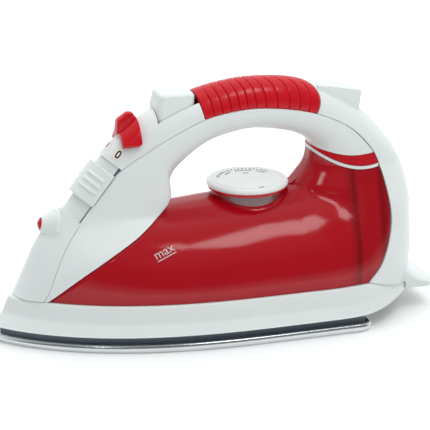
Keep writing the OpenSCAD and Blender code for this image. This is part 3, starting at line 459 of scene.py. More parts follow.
def painted_shade_bands(mat):
    """Bands of painted shade across the tank's rear, darker where its partition and back wall show through.
    """
    tree = mat.node_tree
    bsdf = tree.nodes["Principled BSDF"]
    colour = bsdf.inputs["Base Color"].links[0].from_socket
    along = add(tree, "VectorMath")
    along.operation = "DOT_PRODUCT"
    along.inputs[1].default_value = (1.0, 0.0, -0.1)
    tree.links.new(add(tree, "TexCoord").outputs["Object"], along.inputs[0])
    span = add(tree, "MapRange", Value=along.outputs["Value"], From_Min=0.05, From_Max=0.09)
    shade = add(tree, "ValToRGB", Fac=span.outputs["Result"])
    stops = [(0.19, 1.0), (0.26, 0.8), (0.32, 0.48), (0.37, 0.88), (0.61, 0.92), (0.68, 0.52), (0.76, 0.76)]
    while len(shade.color_ramp.elements) < len(stops):
        shade.color_ramp.elements.new(0.5)
    for stop, (place, level) in zip(shade.color_ramp.elements, stops):
        stop.position, stop.color = place, (level, level, level, 1)
    both = add(tree, "VectorMath")
    both.operation = "MULTIPLY"
    tree.links.new(colour, both.inputs[0])
    tree.links.new(shade.outputs["Color"], both.inputs[1])
    tree.links.new(both.outputs["Vector"], bsdf.inputs["Base Color"])


# The tank's colour gets bands of painted shade at its rear.
painted_shade_bands(tank_red)


def dress(obj, mat, body="housing", replaces=()):
    """Gives a piece its material and body, and hides the nodes it stands for."""
    obj.data.materials.clear()
    obj.data.materials.append(mat)
    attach(obj, body)
    if replaces:
        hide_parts(*replaces)
    return obj


# Tank
def stripe_z(x):
    return 74.9 + 0.0148 * (77 - x) ** 2


def band_z(x):
    return 81.6 + 0.0105 * (73 - x) ** 2


def tank_top(x):
    return np.where(x < NECK_X, curve(TOPS, x), stripe_z(x) - STRIPE_H - SEAM_GAP)


def tank_grid(e, edge):
    """Skin of the tank, e inside its outside, by x from end to end and by height."""
    front_gap = SEAM_GAP * 2.4
    xa, xb = BORDERS[-1, 1] + front_gap, REARS[-1, 1] - SEAM_GAP
    xt = np.concatenate([np.linspace(xa, 40, 70), np.linspace(40, NECK_X - 0.01, 40)[1:],
                         np.linspace(NECK_X, 57, 20), np.linspace(57, xb - 1, 34)[1:],
                         xb - np.array([0.6, 0.35, 0.18, 0.06, 0])])
    v = 1 - (1 - np.linspace(0, 1, 60)) ** 1.6
    X, V = np.meshgrid(xt, v, indexing="ij")
    s = (X - xa) / (xb - xa)
    x0, x1 = curve(BORDERS, V) + front_gap, curve(REARS, V) - SEAM_GAP
    # Columns stand upright near the deck and fan out to the slanted ends below it
    hold = smooth(s / 0.15) * smooth((1 - s) / 0.15) * (1 - smooth((1 - V) / 0.35))
    x = lerp(lerp(x0, x1, s), X, hold)
    top = tank_top(X)
    z = FOOT_Z + (top - FOOT_Z) * V
    near = lip(np.minimum(x - x0, x1 - x), edge) if e == 0 else 0
    y = np.maximum(0.5 if e else 1.0, body(x, z) - FLUSH - near - e)
    px = lerp(lerp(x0 + 1.5 * e, x1 - e, s), X, hold)
    pz = FOOT_Z + (top - e - FOOT_Z) * V
    half = np.stack([px, y, pz], -1)[:, ::-1]
    return mirror_grid(np.concatenate([half[:, :1] * [1, 0, 1], half], 1))


def cup(name, A, B):
    """Closed tank: outer and inner grid with walls across both ends and an open foot."""
    nr, nc = A.shape[:2]
    n, z, m = nr * nc, (nr - 1) * nc, (nc - 1) // 2
    faces = grid_faces(nr, nc) + grid_faces(nr, nc, n)
    for o in (0, z, n, n + z):
        faces += [[o + j, o + j + 1, o + nc - 2 - j, o + nc - 1 - j] for j in range(m - 1)]
        faces.append([o + m - 1, o + m, o + m + 1])
    for c in (0, nc - 1):
        sides = [(i * nc + c, (i + 1) * nc + c) for i in range(nr - 1)]
        faces += [[a, b, n + b, n + a] for a, b in sides]
    faces += [[0, nc - 1, n + nc - 1, n], [z, z + nc - 1, n + z + nc - 1, n + z]]
    return solid(name, np.vstack([A.reshape(-1, 3), B.reshape(-1, 3)]), faces, 40)


DIAL_X, DIAL_R, DIAL_TOP, CAP_T, RING_T = 20.0, 20.6, 70.6, 3.0, 1.4
COLLAR_R, COLLAR_H, FACE_PLAY = 17.5, 12.0, 0.4
on_dial = shifted(DIAL_X)
collar_top = DIAL_TOP - CAP_T - RING_T - FACE_PLAY
well_low, well_high, well_r = collar_top - COLLAR_H - 1, collar_top + 6, COLLAR_R + 0.1
tank = cup("tank_skin", tank_grid(0, 0.8), tank_grid(TANK_WALL, 0))
boolean(tank, lathe("cut", [(0, well_low), (well_r, well_low), (well_r, well_high), (0, well_high)], on_dial),
        sharp=40)


def tank_z(x, y):
    """Height of the tank's skin over a place of its plan."""
    low, high = np.full_like(x, FOOT_Z + 1), deck(x)
    for _ in range(40):
        mid = (low + high) / 2
        inside = body(x, mid) - FLUSH > np.abs(y)
        low, high = np.where(inside, mid, low), np.where(inside, high, mid)
    return low


def fillet_ring(reach=2.2, rise=1.2):
    """Concave foot between the dial's collar and the tank's deck."""
    a = np.linspace(0, 2 * np.pi, 128, endpoint=False)

    def on_deck(r):
        return tank_z(DIAL_X + r * np.cos(a), r * np.sin(a))

    def ring(r, z):
        return np.stack([DIAL_X + r * np.cos(a), r * np.sin(a), z], -1)

    foot = on_deck(COLLAR_R)
    lift = np.minimum(rise, collar_top - 0.4 - foot)
    inner = COLLAR_R + 0.12
    rows = [ring(inner, foot - 1.4)]
    for u in np.linspace(0, 1, 12):
        r = inner + reach * u**1.6
        rows.append(ring(r, on_deck(r) + lift * (1 - u) ** 2.4))
    rows.append(ring(COLLAR_R + reach, rows[-1][:, 2] - 0.8))
    return hoop("fillet", rows, 60)


boolean(tank, fillet_ring(), "UNION", 40)
dress(tank, tank_red, replaces=["tank_shell"])

# Lower shell
LEG_LOW, LEG_HIGH, LEG_X1 = 84.1, 81.35, 51.9


def leg_pt(g, e, lift):
    """Point at the foot of the rear leg, from the stripe's line to the band's."""
    x0 = lerp(LEG_LOW, LEG_HIGH, lift)
    x = LEG_X1 + e + (x0 - LEG_X1 - e) * (1 - g) ** 2
    zl = np.where(lift < 1, stripe_z(x - e), band_z(x - e))
    return np.stack([x, np.maximum(0.4, body(x - e, zl) - e), lerp(stripe_z(x), band_z(x), lift)], -1)


def low_grid(e, edge):
    g = np.concatenate([[0, 0.004, 0.01, 0.02, 0.035], np.linspace(0.05, 1, 52)])
    share = 1 - (1 - g) ** 1.8

    def across(t):
        r0 = seam_r(t) + SEAM_GAP / 2
        r = r0 + share * (loop_d(t) - e - r0)
        return loop_pt(t, r, e + (lip(r - r0, edge) if e == 0 else 0))

    rows = [across(t) for t in np.linspace(0, LEG_FROM, 190)]
    leg = leg_pt(g, e, np.ones_like(g))
    for q in np.linspace(0, 1, 26)[1:]:
        rows.append(lerp(across(LEG_FROM + LEG_SPAN * q), leg, (q ** (3 - 2 * g))[:, None]))
    half = np.array(rows)
    half[:, -1, 1] = 0
    return mirror_grid(half[:, ::-1])


lower = sheet("lower_skin", low_grid(0, 0.35), low_grid(WALL, 0), 40)
dress(lower, white, replaces=["lower_shell"])


# Covers and grip on the loop's outside
def lean(q):
    return GRIP_LEAN * (1 - (1 - q) ** 2)


def cover_grid(t_of, f, q, e, edge, dent=None):
    """Rows by share f, columns by share q from the spine to the seam."""
    F, Q = np.meshgrid(f, q, indexing="ij")
    T = t_of(F, Q)
    r1 = seam_r(T) - SEAM_GAP / 2
    half = loop_pt(T, e + (r1 - e) * Q * Q, e)
    if e == 0:
        step = np.linalg.norm(np.diff(loop_pt(t_of(f, 0 * f), 0 * f), axis=0), axis=1)
        run = np.concatenate([[0], np.cumsum(step)])
        end = np.minimum(run, run[-1] - run)[:, None]
        drop = lip(np.minimum(end, r1 * (1 - Q * Q)), edge)
        if dent is not None:
            drop = drop + dent(F, Q)
        eps = 0.05
        inward = loop_pt(T, eps + (r1 - eps) * Q * Q, eps) - half
        n = inward / np.maximum(1e-9, np.linalg.norm(inward, axis=-1, keepdims=True))
        half = half + n * drop[..., None]
    half[:, 0, 1] = 0
    return mirror_grid(half)


def cover(name, t_of, f, edge, sharp, dent=None):
    q = np.concatenate([np.linspace(0, 0.98, 44), [0.988, 0.994, 0.998, 1.0]])
    return sheet(name, cover_grid(t_of, f, q, 0, edge, dent), cover_grid(t_of, f, q, WALL, 0), sharp)


front = cover("front_skin", lambda F, Q: (GRIP_FROM - END_GAP) * F, runs(230, 0.004), 0.35, 40)

# Spray pod, track, filler hole, lever seat and button opening of the front cover
POD = [(0, 0.6), (2.95, 0.6), (3.0, 0.1), (3.2, 0), (3.5, 0.1), (3.9, 0.7), (4.5, 1.7), (5.3, 2.9),
       (6.2, 4.1), (7.2, 5.3), (8.3, 6.3), (8.0, 8), (6, 9.5), (6, 12), (0, 12)]
boolean(front, lathe("pod", POD, on_pod, 72), "UNION", 40)
ARCH_HW, ARCH_DEEP, ARCH_X = 13.25, 36.3, 9.6
TRACK_D, TRACK_SIDE, TRACK_FROM, TRACK_TO, CLEAR_OUT = 1.3, 1.4, 3.0, 36.0, 20
GUTTER_HW, GUTTER_X, GUTTER_DEEP = 10.95, 2.3, 34.0


def arch_y(x, o):
    """Half width of the spine's arch, o outside its line, at depth x under the crown."""
    return (ARCH_HW + o) * math.sqrt(max(0, 1 - (1 - min(1, max(0, x + o) / (ARCH_DEEP + o))) ** 2))


def arch(o, x1, n):
    pts = []
    for i in range(-n, n + 1):
        x = -o + (x1 + o) * (i / n) ** 2
        pts.append((x, math.copysign(arch_y(x, o), i) if i else 0.0))
    return pts


def gutter_y(x):
    return GUTTER_HW * math.sqrt(1 - (1 - (x - GUTTER_X) / GUTTER_DEEP) ** 2)


arch_low, side_x = ARCH_X + 0.1, ARCH_X + TRACK_SIDE
gutter = [(x, gutter_y(x)) for x in (arch_low, side_x)]
track = arch(-TRACK_D, arch_low, 40) + gutter
track += [(side_x, CLEAR_OUT), (-12, CLEAR_OUT), (-12, -CLEAR_OUT), (side_x, -CLEAR_OUT)]
track += [(x, -y) for x, y in gutter[::-1]]
boolean(front, prism("cut", track, TRACK_FROM, TRACK_TO, on_slide))
LUG_AT, LUG_HW, LUG_LEN, SLIDE_DOWN, SLIDE_UP = 26.0, 1.5, 4.0, 8.5, 1.0
boolean(front, box("cut", (-1, -LUG_HW - FACE_PLAY, LUG_AT - SLIDE_DOWN - FACE_PLAY),
                   (6, LUG_HW + FACE_PLAY, LUG_AT + LUG_LEN + SLIDE_UP + FACE_PLAY), on_slide))
FILLER_R, FILLER_AT = 3.2, 27.0
boolean(front, lathe("cut", [(0, -1), (FILLER_R, -1), (FILLER_R, 8), (0, 8)],
                     lambda p: on_slide(np.array([p[2], p[1], FILLER_AT - p[0]])), 40))


def arc_cut(r0, r1, z0, z1, half, n=40):
    """Cutter round the lever's axis, half degrees to each side of the crown."""
    a = np.linspace(-half, half, n)
    ring = [(-r0 * math.cos(x), r0 * math.sin(x)) for x in np.radians(a)]
    ring += [(-r1 * math.cos(x), r1 * math.sin(x)) for x in np.radians(a[::-1])]
    return prism("cut", ring, z0, z1, on_lever)


boolean(front, arc_cut(6, SPINE_R + 3, -2.6, 2.6, 30))
boolean(front, arc_cut(SPINE_R + 0.02, SPINE_R + 4, -12, 8, 89))
BUTTON_X0, BUTTON_X1, BUTTON_HW, BUTTON_FOOT = -28.9, -9.9, 9.0, 105.0
boolean(front, box("cut", (BUTTON_X0 - FACE_PLAY, -BUTTON_HW - FACE_PLAY, BUTTON_FOOT - 6),
                   (BUTTON_X1 + 20, BUTTON_HW + FACE_PLAY, BUTTON_FOOT + 24)))
dress(front, white, replaces=["front_cover"])
NOZZLE = [(0, 0.9), (0.55, 0.9), (0.6, -1.1), (1.2, -1.0), (1.9, -0.7), (2.5, -0.2), (2.8, 0.4), (2.88, 1.0),
          (2.88, 12), (0, 12)]
nozzle = lathe("nozzle_skin", NOZZLE, on_pod, 64, 40)
dress(nozzle, red, replaces=["spray_nozzle"])

# Grip with its cross grooves, each in the middle of a faint dip
GROOVES, GROOVE_D, GROOVE_STEP, GROOVE_HW, DIP_D, DIP_HW = 11, 0.7, 5.0, 0.2, 0.09, 1.8


def groove(F, Q):
    c = F * (GROOVES + 1)
    near = np.abs(c - np.round(c)) * GROOVE_STEP
    inner = (np.round(c) > 0.5) & (np.round(c) < GROOVES + 0.5)
    cut = np.where(inner, GROOVE_D * np.exp(-((near / GROOVE_HW) ** 2)), 0)
    cut = cut + DIP_D * (1 - np.clip(near / DIP_HW, 0, 1)) ** 2
    return cut * lerp(0.25, 1.0, smooth(Q / 0.4))


grip = cover("grip_skin", lambda F, Q: lerp(GRIP_FROM + END_GAP, GRIP_TO - END_GAP + lean(Q), F),
             runs(340, 0.006), 0.4, 50, groove)
dress(grip, red, replaces=["grip"])

# Rear cover with the cord stub and the heel
rear = cover("rear_skin", lambda F, Q: lerp(GRIP_TO + END_GAP + lean(Q), REAR_END, F),
             runs(150, 0.003), 0.35, 40)
STUB, STUB_HW = [(54.6, 109.5), (54.6, 117), (63, 115.6), (78.4, 112.5), (76.8, 102), (62, 107.5)], 6.6
stub = prism("stub", STUB, -STUB_HW, STUB_HW, lambda p: np.array([p[0], p[2], p[1]]))
round_edges(stub, 0.7)
boolean(rear, stub, "UNION", 40)
HEEL_HW, HEEL_RC, HEEL_TIP, HEEL_ROOT, HEEL_Z, HEEL_TOP = 26.0, 6.0, 114.0, 99.0, 11.7, 27.0
STERN_FROM, STERN_FALL, SKIRT_EDGE = 70.6, (22.5 - 13) / 32.4, 0.8


def skirt_top(x):
    return FOOT_Z - SEAM_GAP - np.maximum(0, x - STERN_FROM) * STERN_FALL


def heel_row(y):
    """Section of the heel at y: a foot over the skirt and a hollow top."""
    q = max(0, abs(y) - HEEL_HW + HEEL_RC) / HEEL_RC
    x = HEEL_TIP - HEEL_RC * (1 - math.sqrt(max(0, 1 - q * q)))
    b = HEEL_ROOT - 0.011 * y * y
    s = STERN_X + (STERN_LEN + SKIRT_EDGE) * (1 - (y / (BASE_HW + SKIRT_EDGE)) ** 2) ** (1 / STERN_POWER)
    low = [(b - 1, skirt_top(b - 1) + 1.2), (s + 0.4, skirt_top(s) + 0.4), (s + 0.8, HEEL_Z),
           (x - 1.0, HEEL_Z), (x - 0.3, HEEL_Z + 0.3), (x, HEEL_Z + 1.0), (x - 0.25, HEEL_Z + 1.6)]
    p0 = np.array([x - 0.8, HEEL_Z + 2.1])
    p1 = np.array([lerp(b, x, 0.32), 16.2])
    p2 = np.array([b + 0.6, HEEL_TOP])
    top = [tuple((1 - k) ** 2 * p0 + 2 * k * (1 - k) * p1 + k * k * p2) for k in np.linspace(0, 1, 12)]
    return [(px, y, pz) for px, pz in low + top + [(b - 1, HEEL_TOP)]]


heel_y = HEEL_HW * np.sin(np.radians(np.linspace(-90, 90, 61)))
boolean(rear, stack("heel", [heel_row(y) for y in heel_y]), "UNION", 40)
dress(rear, white, replaces=["rear_cover"])


# Bands on the rear leg
def band(name, l0, l1, d0, d1):
    """Band between two lines of the leg, given by their lift and an offset in height."""
    g = np.linspace(0, 1, 50)
    height = abs(l1 - l0) * 5 + abs(d1 - d0)

    def rows(e):
        out = []
        for k in runs(6, 0.2):
            p = leg_pt(g, e, np.full_like(g, lerp(l1, l0, k))) + [0, 0, lerp(d1, d0, k)]
            if e == 0:
                p[:, 1] -= lip(min(k, 1 - k) * height, 0.25)
            out.append(p)
        half = np.array(out)
        half[:, -1, 1] = 0
        return mirror_grid(half[:, ::-1])

    return sheet(name, rows(0), rows(WALL), 40)


wide_band = band("stripe_red_skin", 0, 1, STRIPE_H + SEAM_GAP / 2, -SEAM_GAP)
dress(wide_band, stripe_red, replaces=["stripe_red"])
thin_band = band("stripe_white_skin", 0, 0, -STRIPE_H, STRIPE_H - SEAM_GAP / 2)
dress(thin_band, white, replaces=["stripe_white"])

# Skirt
FLOOR_Z, SKIRT_T, SKIRT_OUT, CREASE_OUT, CREASE_Z, RIM_OUT, SKIRT_SHARP = 8.5, 2.2, 5.8, 2.2, 14.5, 0.6, 13


def skirt_rows():
    """Sections of the skirt round the plan: flared at the nose, upright at the stern."""
    n1, n2 = 90, 60
    fs = 1 - (1 - np.arange(n1, -1, -1) / n1) ** 2
    ss = 1 - (1 - np.arange(0, n2 + 1) / n2) ** 2
    places = [(nose_pt, s, -1) for s in fs] + [(stern_pt, s, -1) for s in ss]
    places += [(stern_pt, s, 1) for s in ss[-2::-1]] + [(nose_pt, s, 1) for s in fs[:0:-1]]
    rows = []
    for edge_pt, s, side in places:
        x0 = edge_pt(s, 0.0)[0]
        g = float(smooth((x0 - 62) / 36))
        zt, zb = float(skirt_top(x0)), FLOOR_Z - 0.2 + 2.7 * g
        zc = lerp(zb, zt, (CREASE_Z - FLOOR_Z) / (FOOT_Z - FLOOR_Z))
        o, c = lerp(SKIRT_OUT, SKIRT_EDGE, g), lerp(CREASE_OUT, RIM_OUT, g)
        prof = [(-8, zt), (c - 2.8, zc), (o - 3.2, zb), (o - 0.5, zb), (o - 0.12, zb + 0.12)]
        prof.append((o - 0.02, zb + 0.45))
        prof += [(lerp(o, c, u), lerp(zb, zc, u)) for u in np.linspace(0.12, 0.94, 8)]
        prof.append((c + 0.03, zc + 0.2))
        prof += [(lerp(c, RIM_OUT, u), lerp(zc, zt, u)) for u in np.linspace(0.08, 0.9, 8)]
        prof += [(0.55, zt - 0.35), (0.4, zt - 0.1), (0.1, zt)]
        row = []
        for d, z in prof:
            x, y = edge_pt(s, d)
            row.append((x, side * y, z))
        rows.append(row)
    return rows


skirt = hoop("skirt_skin", skirt_rows(), SKIRT_SHARP)


# Flat plates of the base
def plate_outline(d, rear_x, rc, beak, n=90):
    pts = [nose_pt(1 - (1 - i / n) ** 2, d, beak) for i in range(n, -1, -1)]
    for a in np.radians(np.linspace(90, 0, 16)):
        pts.append((rear_x - rc + rc * math.cos(a), BASE_HW + d - rc + rc * math.sin(a)))
    return pts


def plate(name, layers, beak=0.0):
    """Stack of plate outlines: offset, rear edge, corner radius, height."""
    rows = []
    for d, rear_x, rc, z in layers:
        h = plate_outline(d, rear_x, rc, beak)
        rows.append([(x, -y, z) for x, y in h] + [(x, y, z) for x, y in h[::-1]][:-1])
    return stack(name, rows, 30)


floor_plate = plate("floor_plate", [(2.9, 70, 6, z) for z in (FLOOR_Z, FLOOR_Z + SKIRT_T)])
boolean(skirt, floor_plate, "UNION", SKIRT_SHARP)
stern_x = np.linspace(66, 100, 24)
stern = list(zip(stern_x, plan(stern_x, -0.6) - 1.2))
stern = [(x, -y) for x, y in stern] + stern[::-1]
stern_plate = prism("stern_plate", stern, FLOOR_Z + 1.7, FLOOR_Z + SKIRT_T + 1.5, lambda p: p)
boolean(skirt, stern_plate, "UNION", SKIRT_SHARP)
dress(skirt, white, replaces=["base_skirt"])

# Sole with a half-round edge, screw recesses and steam holes
SOLE_OUT, SOLE_T, SOLE_REAR, SOLE_RC, SOLE_HIGH, SOLE_ROUND = 5.0, 3.3, 71.0, 7, 4.1, 1.6
sole_layers = []
for a in np.linspace(-1.571, 1.571, 15):
    d = SOLE_ROUND * (1 - math.cos(a))
    sole_layers.append((SOLE_OUT - d, SOLE_REAR - d, SOLE_RC - d * 0.6, SOLE_HIGH / 2 * (1 + math.sin(a))))
sole = plate("sole_skin", sole_layers)
SCREW_X, SCREW_Y, RECESS_R, RECESS_TOP, STEAM_R = 45, 0.554 * BASE_HW, 3.5, 1.9, 2.0
screw_at = [(MID_X - 0.687 * NOSE_LEN, 0), (SCREW_X, -SCREW_Y), (SCREW_X, SCREW_Y)]
holes = [(x, y, RECESS_R, RECESS_TOP) for x, y in screw_at]
steam_at = [(-80 + 20 * i, k * (7 + 4 * i)) for i in range(6) for k in (-1, 1)]
steam_at += [(-92 + 8 * i, 0) for i in range(3)]
holes += [(x, y, STEAM_R, SOLE_HIGH + 1) for x, y in steam_at]
for x, y, r, top in holes:
    drill = lathe("cut", [(0, -1), (r + 1, -1), (r, 0.35), (r, top), (0, top)], shifted(x, y), 32)
    boolean(sole, drill, sharp=30)
dress(sole, silver, replaces=["sole_plate"])

SPACER_IN, SPACER_H, SPACER_RC, SPACER_BACK, SPACER_BEAK = 4.0, 5.2, 6, 2.0, 3.6
spacer_d, spacer_top = SOLE_OUT - SPACER_IN, SOLE_T + SPACER_H
spacer_rear = SOLE_REAR - SPACER_IN + SPACER_BACK
spacer = plate("spacer_skin", [(spacer_d, spacer_rear, SPACER_RC, SOLE_T),
                               (spacer_d, spacer_rear, SPACER_RC, spacer_top - 0.2),
                               (spacer_d - 0.2, spacer_rear - 0.2, SPACER_RC - 0.1, spacer_top)], SPACER_BEAK)
dress(spacer, slate, replaces=["sole_spacer"])

# Button
LEAN_X0, LEAN_X1, LEAN_HW, LEAN_FROM, LEAN_TO = 1.6, 0.4, 0.5, 112.2, 119.1
BUTTON_RC, BUTTON_EDGE, BUTTON_RIM_Z = 3.2, 1.8, 118.0
BUTTON_TOP = np.array([(BUTTON_X0 + LEAN_X0, LEAN_TO), (-17, 119.4), (BUTTON_X1 + LEAN_X1, 118.8)])


def button_ring(z, inset, scale=1.0):
    """Rounded rectangle of the button at a height, or set in from its edge."""
    tilt = max(0.0, (z - LEAN_FROM) / (LEAN_TO - LEAN_FROM))
    x0, x1 = BUTTON_X0 + LEAN_X0 * tilt + inset, BUTTON_X1 + LEAN_X1 * tilt - inset
    h = BUTTON_HW - LEAN_HW * tilt - inset
    r = max(0.6, BUTTON_RC - inset)
    pts = []
    for cx, cy, a0 in ((x1 - r, h - r, 0), (x0 + r, h - r, 90), (x0 + r, r - h, 180), (x1 - r, r - h, 270)):
        turn = np.radians(a0 + np.linspace(0, 90, 9))
        pts += [(cx + r * math.cos(a), cy + r * math.sin(a)) for a in turn]
    mid = (x0 + x1) / 2
    return [(mid + (x - mid) * scale, y * scale) for x, y in pts]


def push_button():
    def top(x):
        return float(np.interp(x, *BUTTON_TOP.T))

    rows = [[(x, y, z) for x, y in button_ring(z, 0)] for z in (BUTTON_FOOT, 109, LEAN_FROM, 115)]
    for a in np.radians(np.linspace(0, 90, 7)):
        ring = button_ring(BUTTON_RIM_Z, BUTTON_EDGE * (1 - math.cos(a)))
        rows.append([(x, y, top(x) - BUTTON_EDGE * (1 - math.sin(a))) for x, y in ring])
    for scale in (0.8, 0.55, 0.3, 0.1):
        rows.append([(x, y, top(x)) for x, y in button_ring(BUTTON_RIM_Z, BUTTON_EDGE, scale)])
    return stack("button_skin", rows, 40)


button = push_button()
dress(button, white, "button", ["steam_button"])

# Pump spring under the button
PUMP_X, COIL_R, WIRE_R, COILS, SPRING_FOOT, SPRING_TOP = -20.5, 4.0, 0.45, 3, 97.95, 104.55


def coil():
    turns = np.linspace(0, 2 * np.pi * COILS, 48 * COILS + 1)
    rows = []
    for a in turns:
        z = lerp(SPRING_FOOT, SPRING_TOP, a / turns[-1])
        row = []
        for b in np.linspace(0, 2 * np.pi, 12, endpoint=False):
            r = COIL_R + WIRE_R * math.cos(b)
            row.append((PUMP_X + r * math.cos(a), r * math.sin(a), z + WIRE_R * math.sin(b)))
        rows.append(row)
    return stack("spring_skin", rows, 40)


spring = coil()
spring.data.materials.append(steel)
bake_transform(spring)
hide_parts("pump_spring")

# Lever
SADDLE_R, SADDLE_T, SADDLE_X0, SADDLE_LEN, SADDLE_Z, SADDLE_MAX = 12.3, 1.9, -47.2, 9.0, 96.3, 68


def saddle():
    """Red saddle round the spine, cut by a vertical front and back and a level foot."""
    ox, _, oz = lever_o
    xs = SADDLE_X0 + SADDLE_LEN * runs(30, 0.06)
    ks = 2 * runs(60, 0.012) - 1

    def rows(r0, edge):
        out = []
        for x in xs:
            low = (SADDLE_Z - oz - (x - ox) * math.tan(lever_a)) * math.cos(lever_a) / (SADDLE_R + SADDLE_T)
            top = min(math.acos(max(-1, min(1, low))), math.radians(SADDLE_MAX))
            row = []
            for k in ks:
                near = min(x - xs[0], xs[-1] - x, (1 - abs(k)) * top * SADDLE_R)
                r = r0 - (float(lip(near, edge)) if edge else 0)
                w = k * top
                z = (x - ox + r * math.cos(w) * math.sin(lever_a)) / math.cos(lever_a)
                row.append(on_lever(np.array([-r * math.cos(w), r * math.sin(w), z])))
            out.append(row)
        return np.array(out)

    return sheet("lever_skin", rows(SADDLE_R + SADDLE_T, 0.5), rows(SADDLE_R, 0), 40)


FIN = [(-48.4, 99.8), (-47.6, 106.8), (-42.4, 110.5), (-39.5, 110.2), (-38.6, 107.3), (-39.8, 106)]
FIN_LOW, FIN_HIGH, FIN_FOOT_HW, FIN_TOP_HW = 99.8, 110.5, 3.7, 2.0


def on_fin(p):
    """The fin's outline stands upright and gets thinner toward its top."""
    half = lerp(FIN_FOOT_HW, FIN_TOP_HW, (p[1] - FIN_LOW) / (FIN_HIGH - FIN_LOW))
    return np.array([p[0], p[2] * half, p[1]])


lever = saddle()
fin = prism("fin", FIN, -1, 1, on_fin)
round_edges(fin, 0.9, 4)
boolean(lever, fin, "UNION", 40)
dress(lever, red, "lever", ["steam_lever"])

# Slider
SLIDE_AT, SLIDE_LEN, SLIDE_T = 13.0, 18.5, 3.0
RIBS, RIB_FROM, RIB_STEP, RIB_H, RIB_HW = 3, 6.0, 3.6, 0.7, 0.85


def slider():
    """Arched slider with rounded ends and finger ribs on both flanks."""
    A, B = [], []
    for share in runs(70, 0.03):
        z = SLIDE_AT + SLIDE_LEN * share
        near = min(abs(z - (SLIDE_AT + RIB_FROM + RIB_STEP * i)) for i in range(RIBS))
        rib = RIB_H * max(0, 1 - (near / RIB_HW) ** 4)
        end = min(share, 1 - share) * SLIDE_LEN
        outer, inner = [], []
        for k in np.linspace(-1, 1, 81):
            drop = float(lip(min(end, (1 - abs(k)) * 9), 0.6))
            flank = float(smooth((abs(k) - 0.22) / 0.12) * smooth((0.9 - abs(k)) / 0.05))
            for row, off in ((outer, SLIDE_T - TRACK_D - drop + rib * flank), (inner, FACE_PLAY - TRACK_D)):
                x = -off + (ARCH_X + off) * k * k
                row.append(on_slide(np.array([x, math.copysign(arch_y(x, off), k), z])))
        A.append(outer)
        B.append(inner)
    return sheet("slider_skin", np.array(A), np.array(B), 40)


dress(slider(), white, "slider", ["fill_slider"])

# Dial cap: radius from its rim and height from its top or foot
cap_foot = DIAL_TOP - CAP_T
CAP_LOW = [(0.9, 0), (0.3, 0.25), (0, 0.9)]
CAP_HIGH = [(0.02, 1.4), (0.25, 0.8), (0.8, 0.35), (1.6, 0.15), (2.6, 0.1), (2.75, 0.4), (3.05, 0.4),
            (3.2, 0.08)]
cap_profile = [(0, cap_foot)] + [(DIAL_R - d, cap_foot + h) for d, h in CAP_LOW]
cap_profile += [(DIAL_R - d, DIAL_TOP - h) for d, h in CAP_HIGH]
cap_profile += [(12, DIAL_TOP - 0.04), (6, DIAL_TOP - 0.01), (0, DIAL_TOP)]
cap = lathe("dial_cap_skin", cap_profile, on_dial, 128, 30)
dress(cap, gloss_white, "dial", ["dial_cap"])


# Prints and labels, and painted shade at the ends of the track
def decal(name, shape, origin, normal, up, target, lift=0.05, deep=0.15):
    """Thin print laid on a piece: flat points are dropped onto it along the normal."""
    pts, faces = shape
    n = Vector(normal).normalized()
    v = (Vector(up) - Vector(up).dot(n) * n).normalized()
    u = v.cross(n)
    mesh = target.data
    polygons = [list(f.vertices) for f in mesh.polygons]
    tree = BVHTree.FromPolygons([w.co.copy() for w in mesh.vertices], polygons)
    outer, inner = [], []
    for a, b in pts:
        start = (Vector(origin) + u * a + v * b + n * 12) * MM
        hit = tree.ray_cast(start, -n)[0]
        outer.append(hit + n * lift * MM)
        inner.append(hit - n * deep * MM)
    m = len(pts)
    edges = dict.fromkeys((i, j) for f in faces for i, j in zip(f, f[1:] + f[:1]))
    walls = [[i, m + i, m + j, j] for i, j in edges if (j, i) not in edges]
    both = [list(f) for f in faces] + [[m + i for i in reversed(f)] for f in faces]
    return solid(name, np.array([list(w / MM) for w in outer + inner]), both + walls, 40)


def oval(a, b, power, n, rings=6):
    """Flat ring between two half sizes in x and y, or a disc, with a superellipse outline."""
    t = np.linspace(0, 2 * np.pi, n, endpoint=False)
    x, y = (np.sign(w) * np.abs(w) ** (2 / power) for w in (np.cos(t), np.sin(t)))
    shares = np.linspace(0, 1, rings)
    pts = [(lerp(a[0], a[1], k) * p, lerp(b[0], b[1], k) * q) for k in shares for p, q in zip(x, y)]
    faces = grid_faces(rings, n, wrap_c=True)
    if a[0] == 0:
        pts = [(0.0, 0.0)] + pts[n:]
        fan = [[0, 1 + (i + 1) % n, 1 + i] for i in range(n)]
        faces = fan + [[f - n + 1 for f in q] for q in faces[n:]]
    return pts, faces


def merge(shapes):
    pts, faces = [], []
    for p, f in shapes:
        faces += [[len(pts) + i for i in q] for q in f]
        pts += list(p)
    return pts, faces


def bar(x0, y0, x1, y1):
    return [(x0, y0), (x1, y0), (x1, y1), (x0, y1)], [[0, 1, 2, 3]]


SPINE_UP = (0.62, 0, 0.784)


def labelled(tag, half, mark, origin, normal):
    """Pale label on the spine with a dark mark on it."""
    patch = decal("label_" + tag, oval((0, half), (0, 3.1), 4, 40), origin, normal, SPINE_UP, front, 0.22)
    dress(patch, label)
    dress(decal("mark_" + tag, mark, origin, normal, SPINE_UP, patch), black_ink)


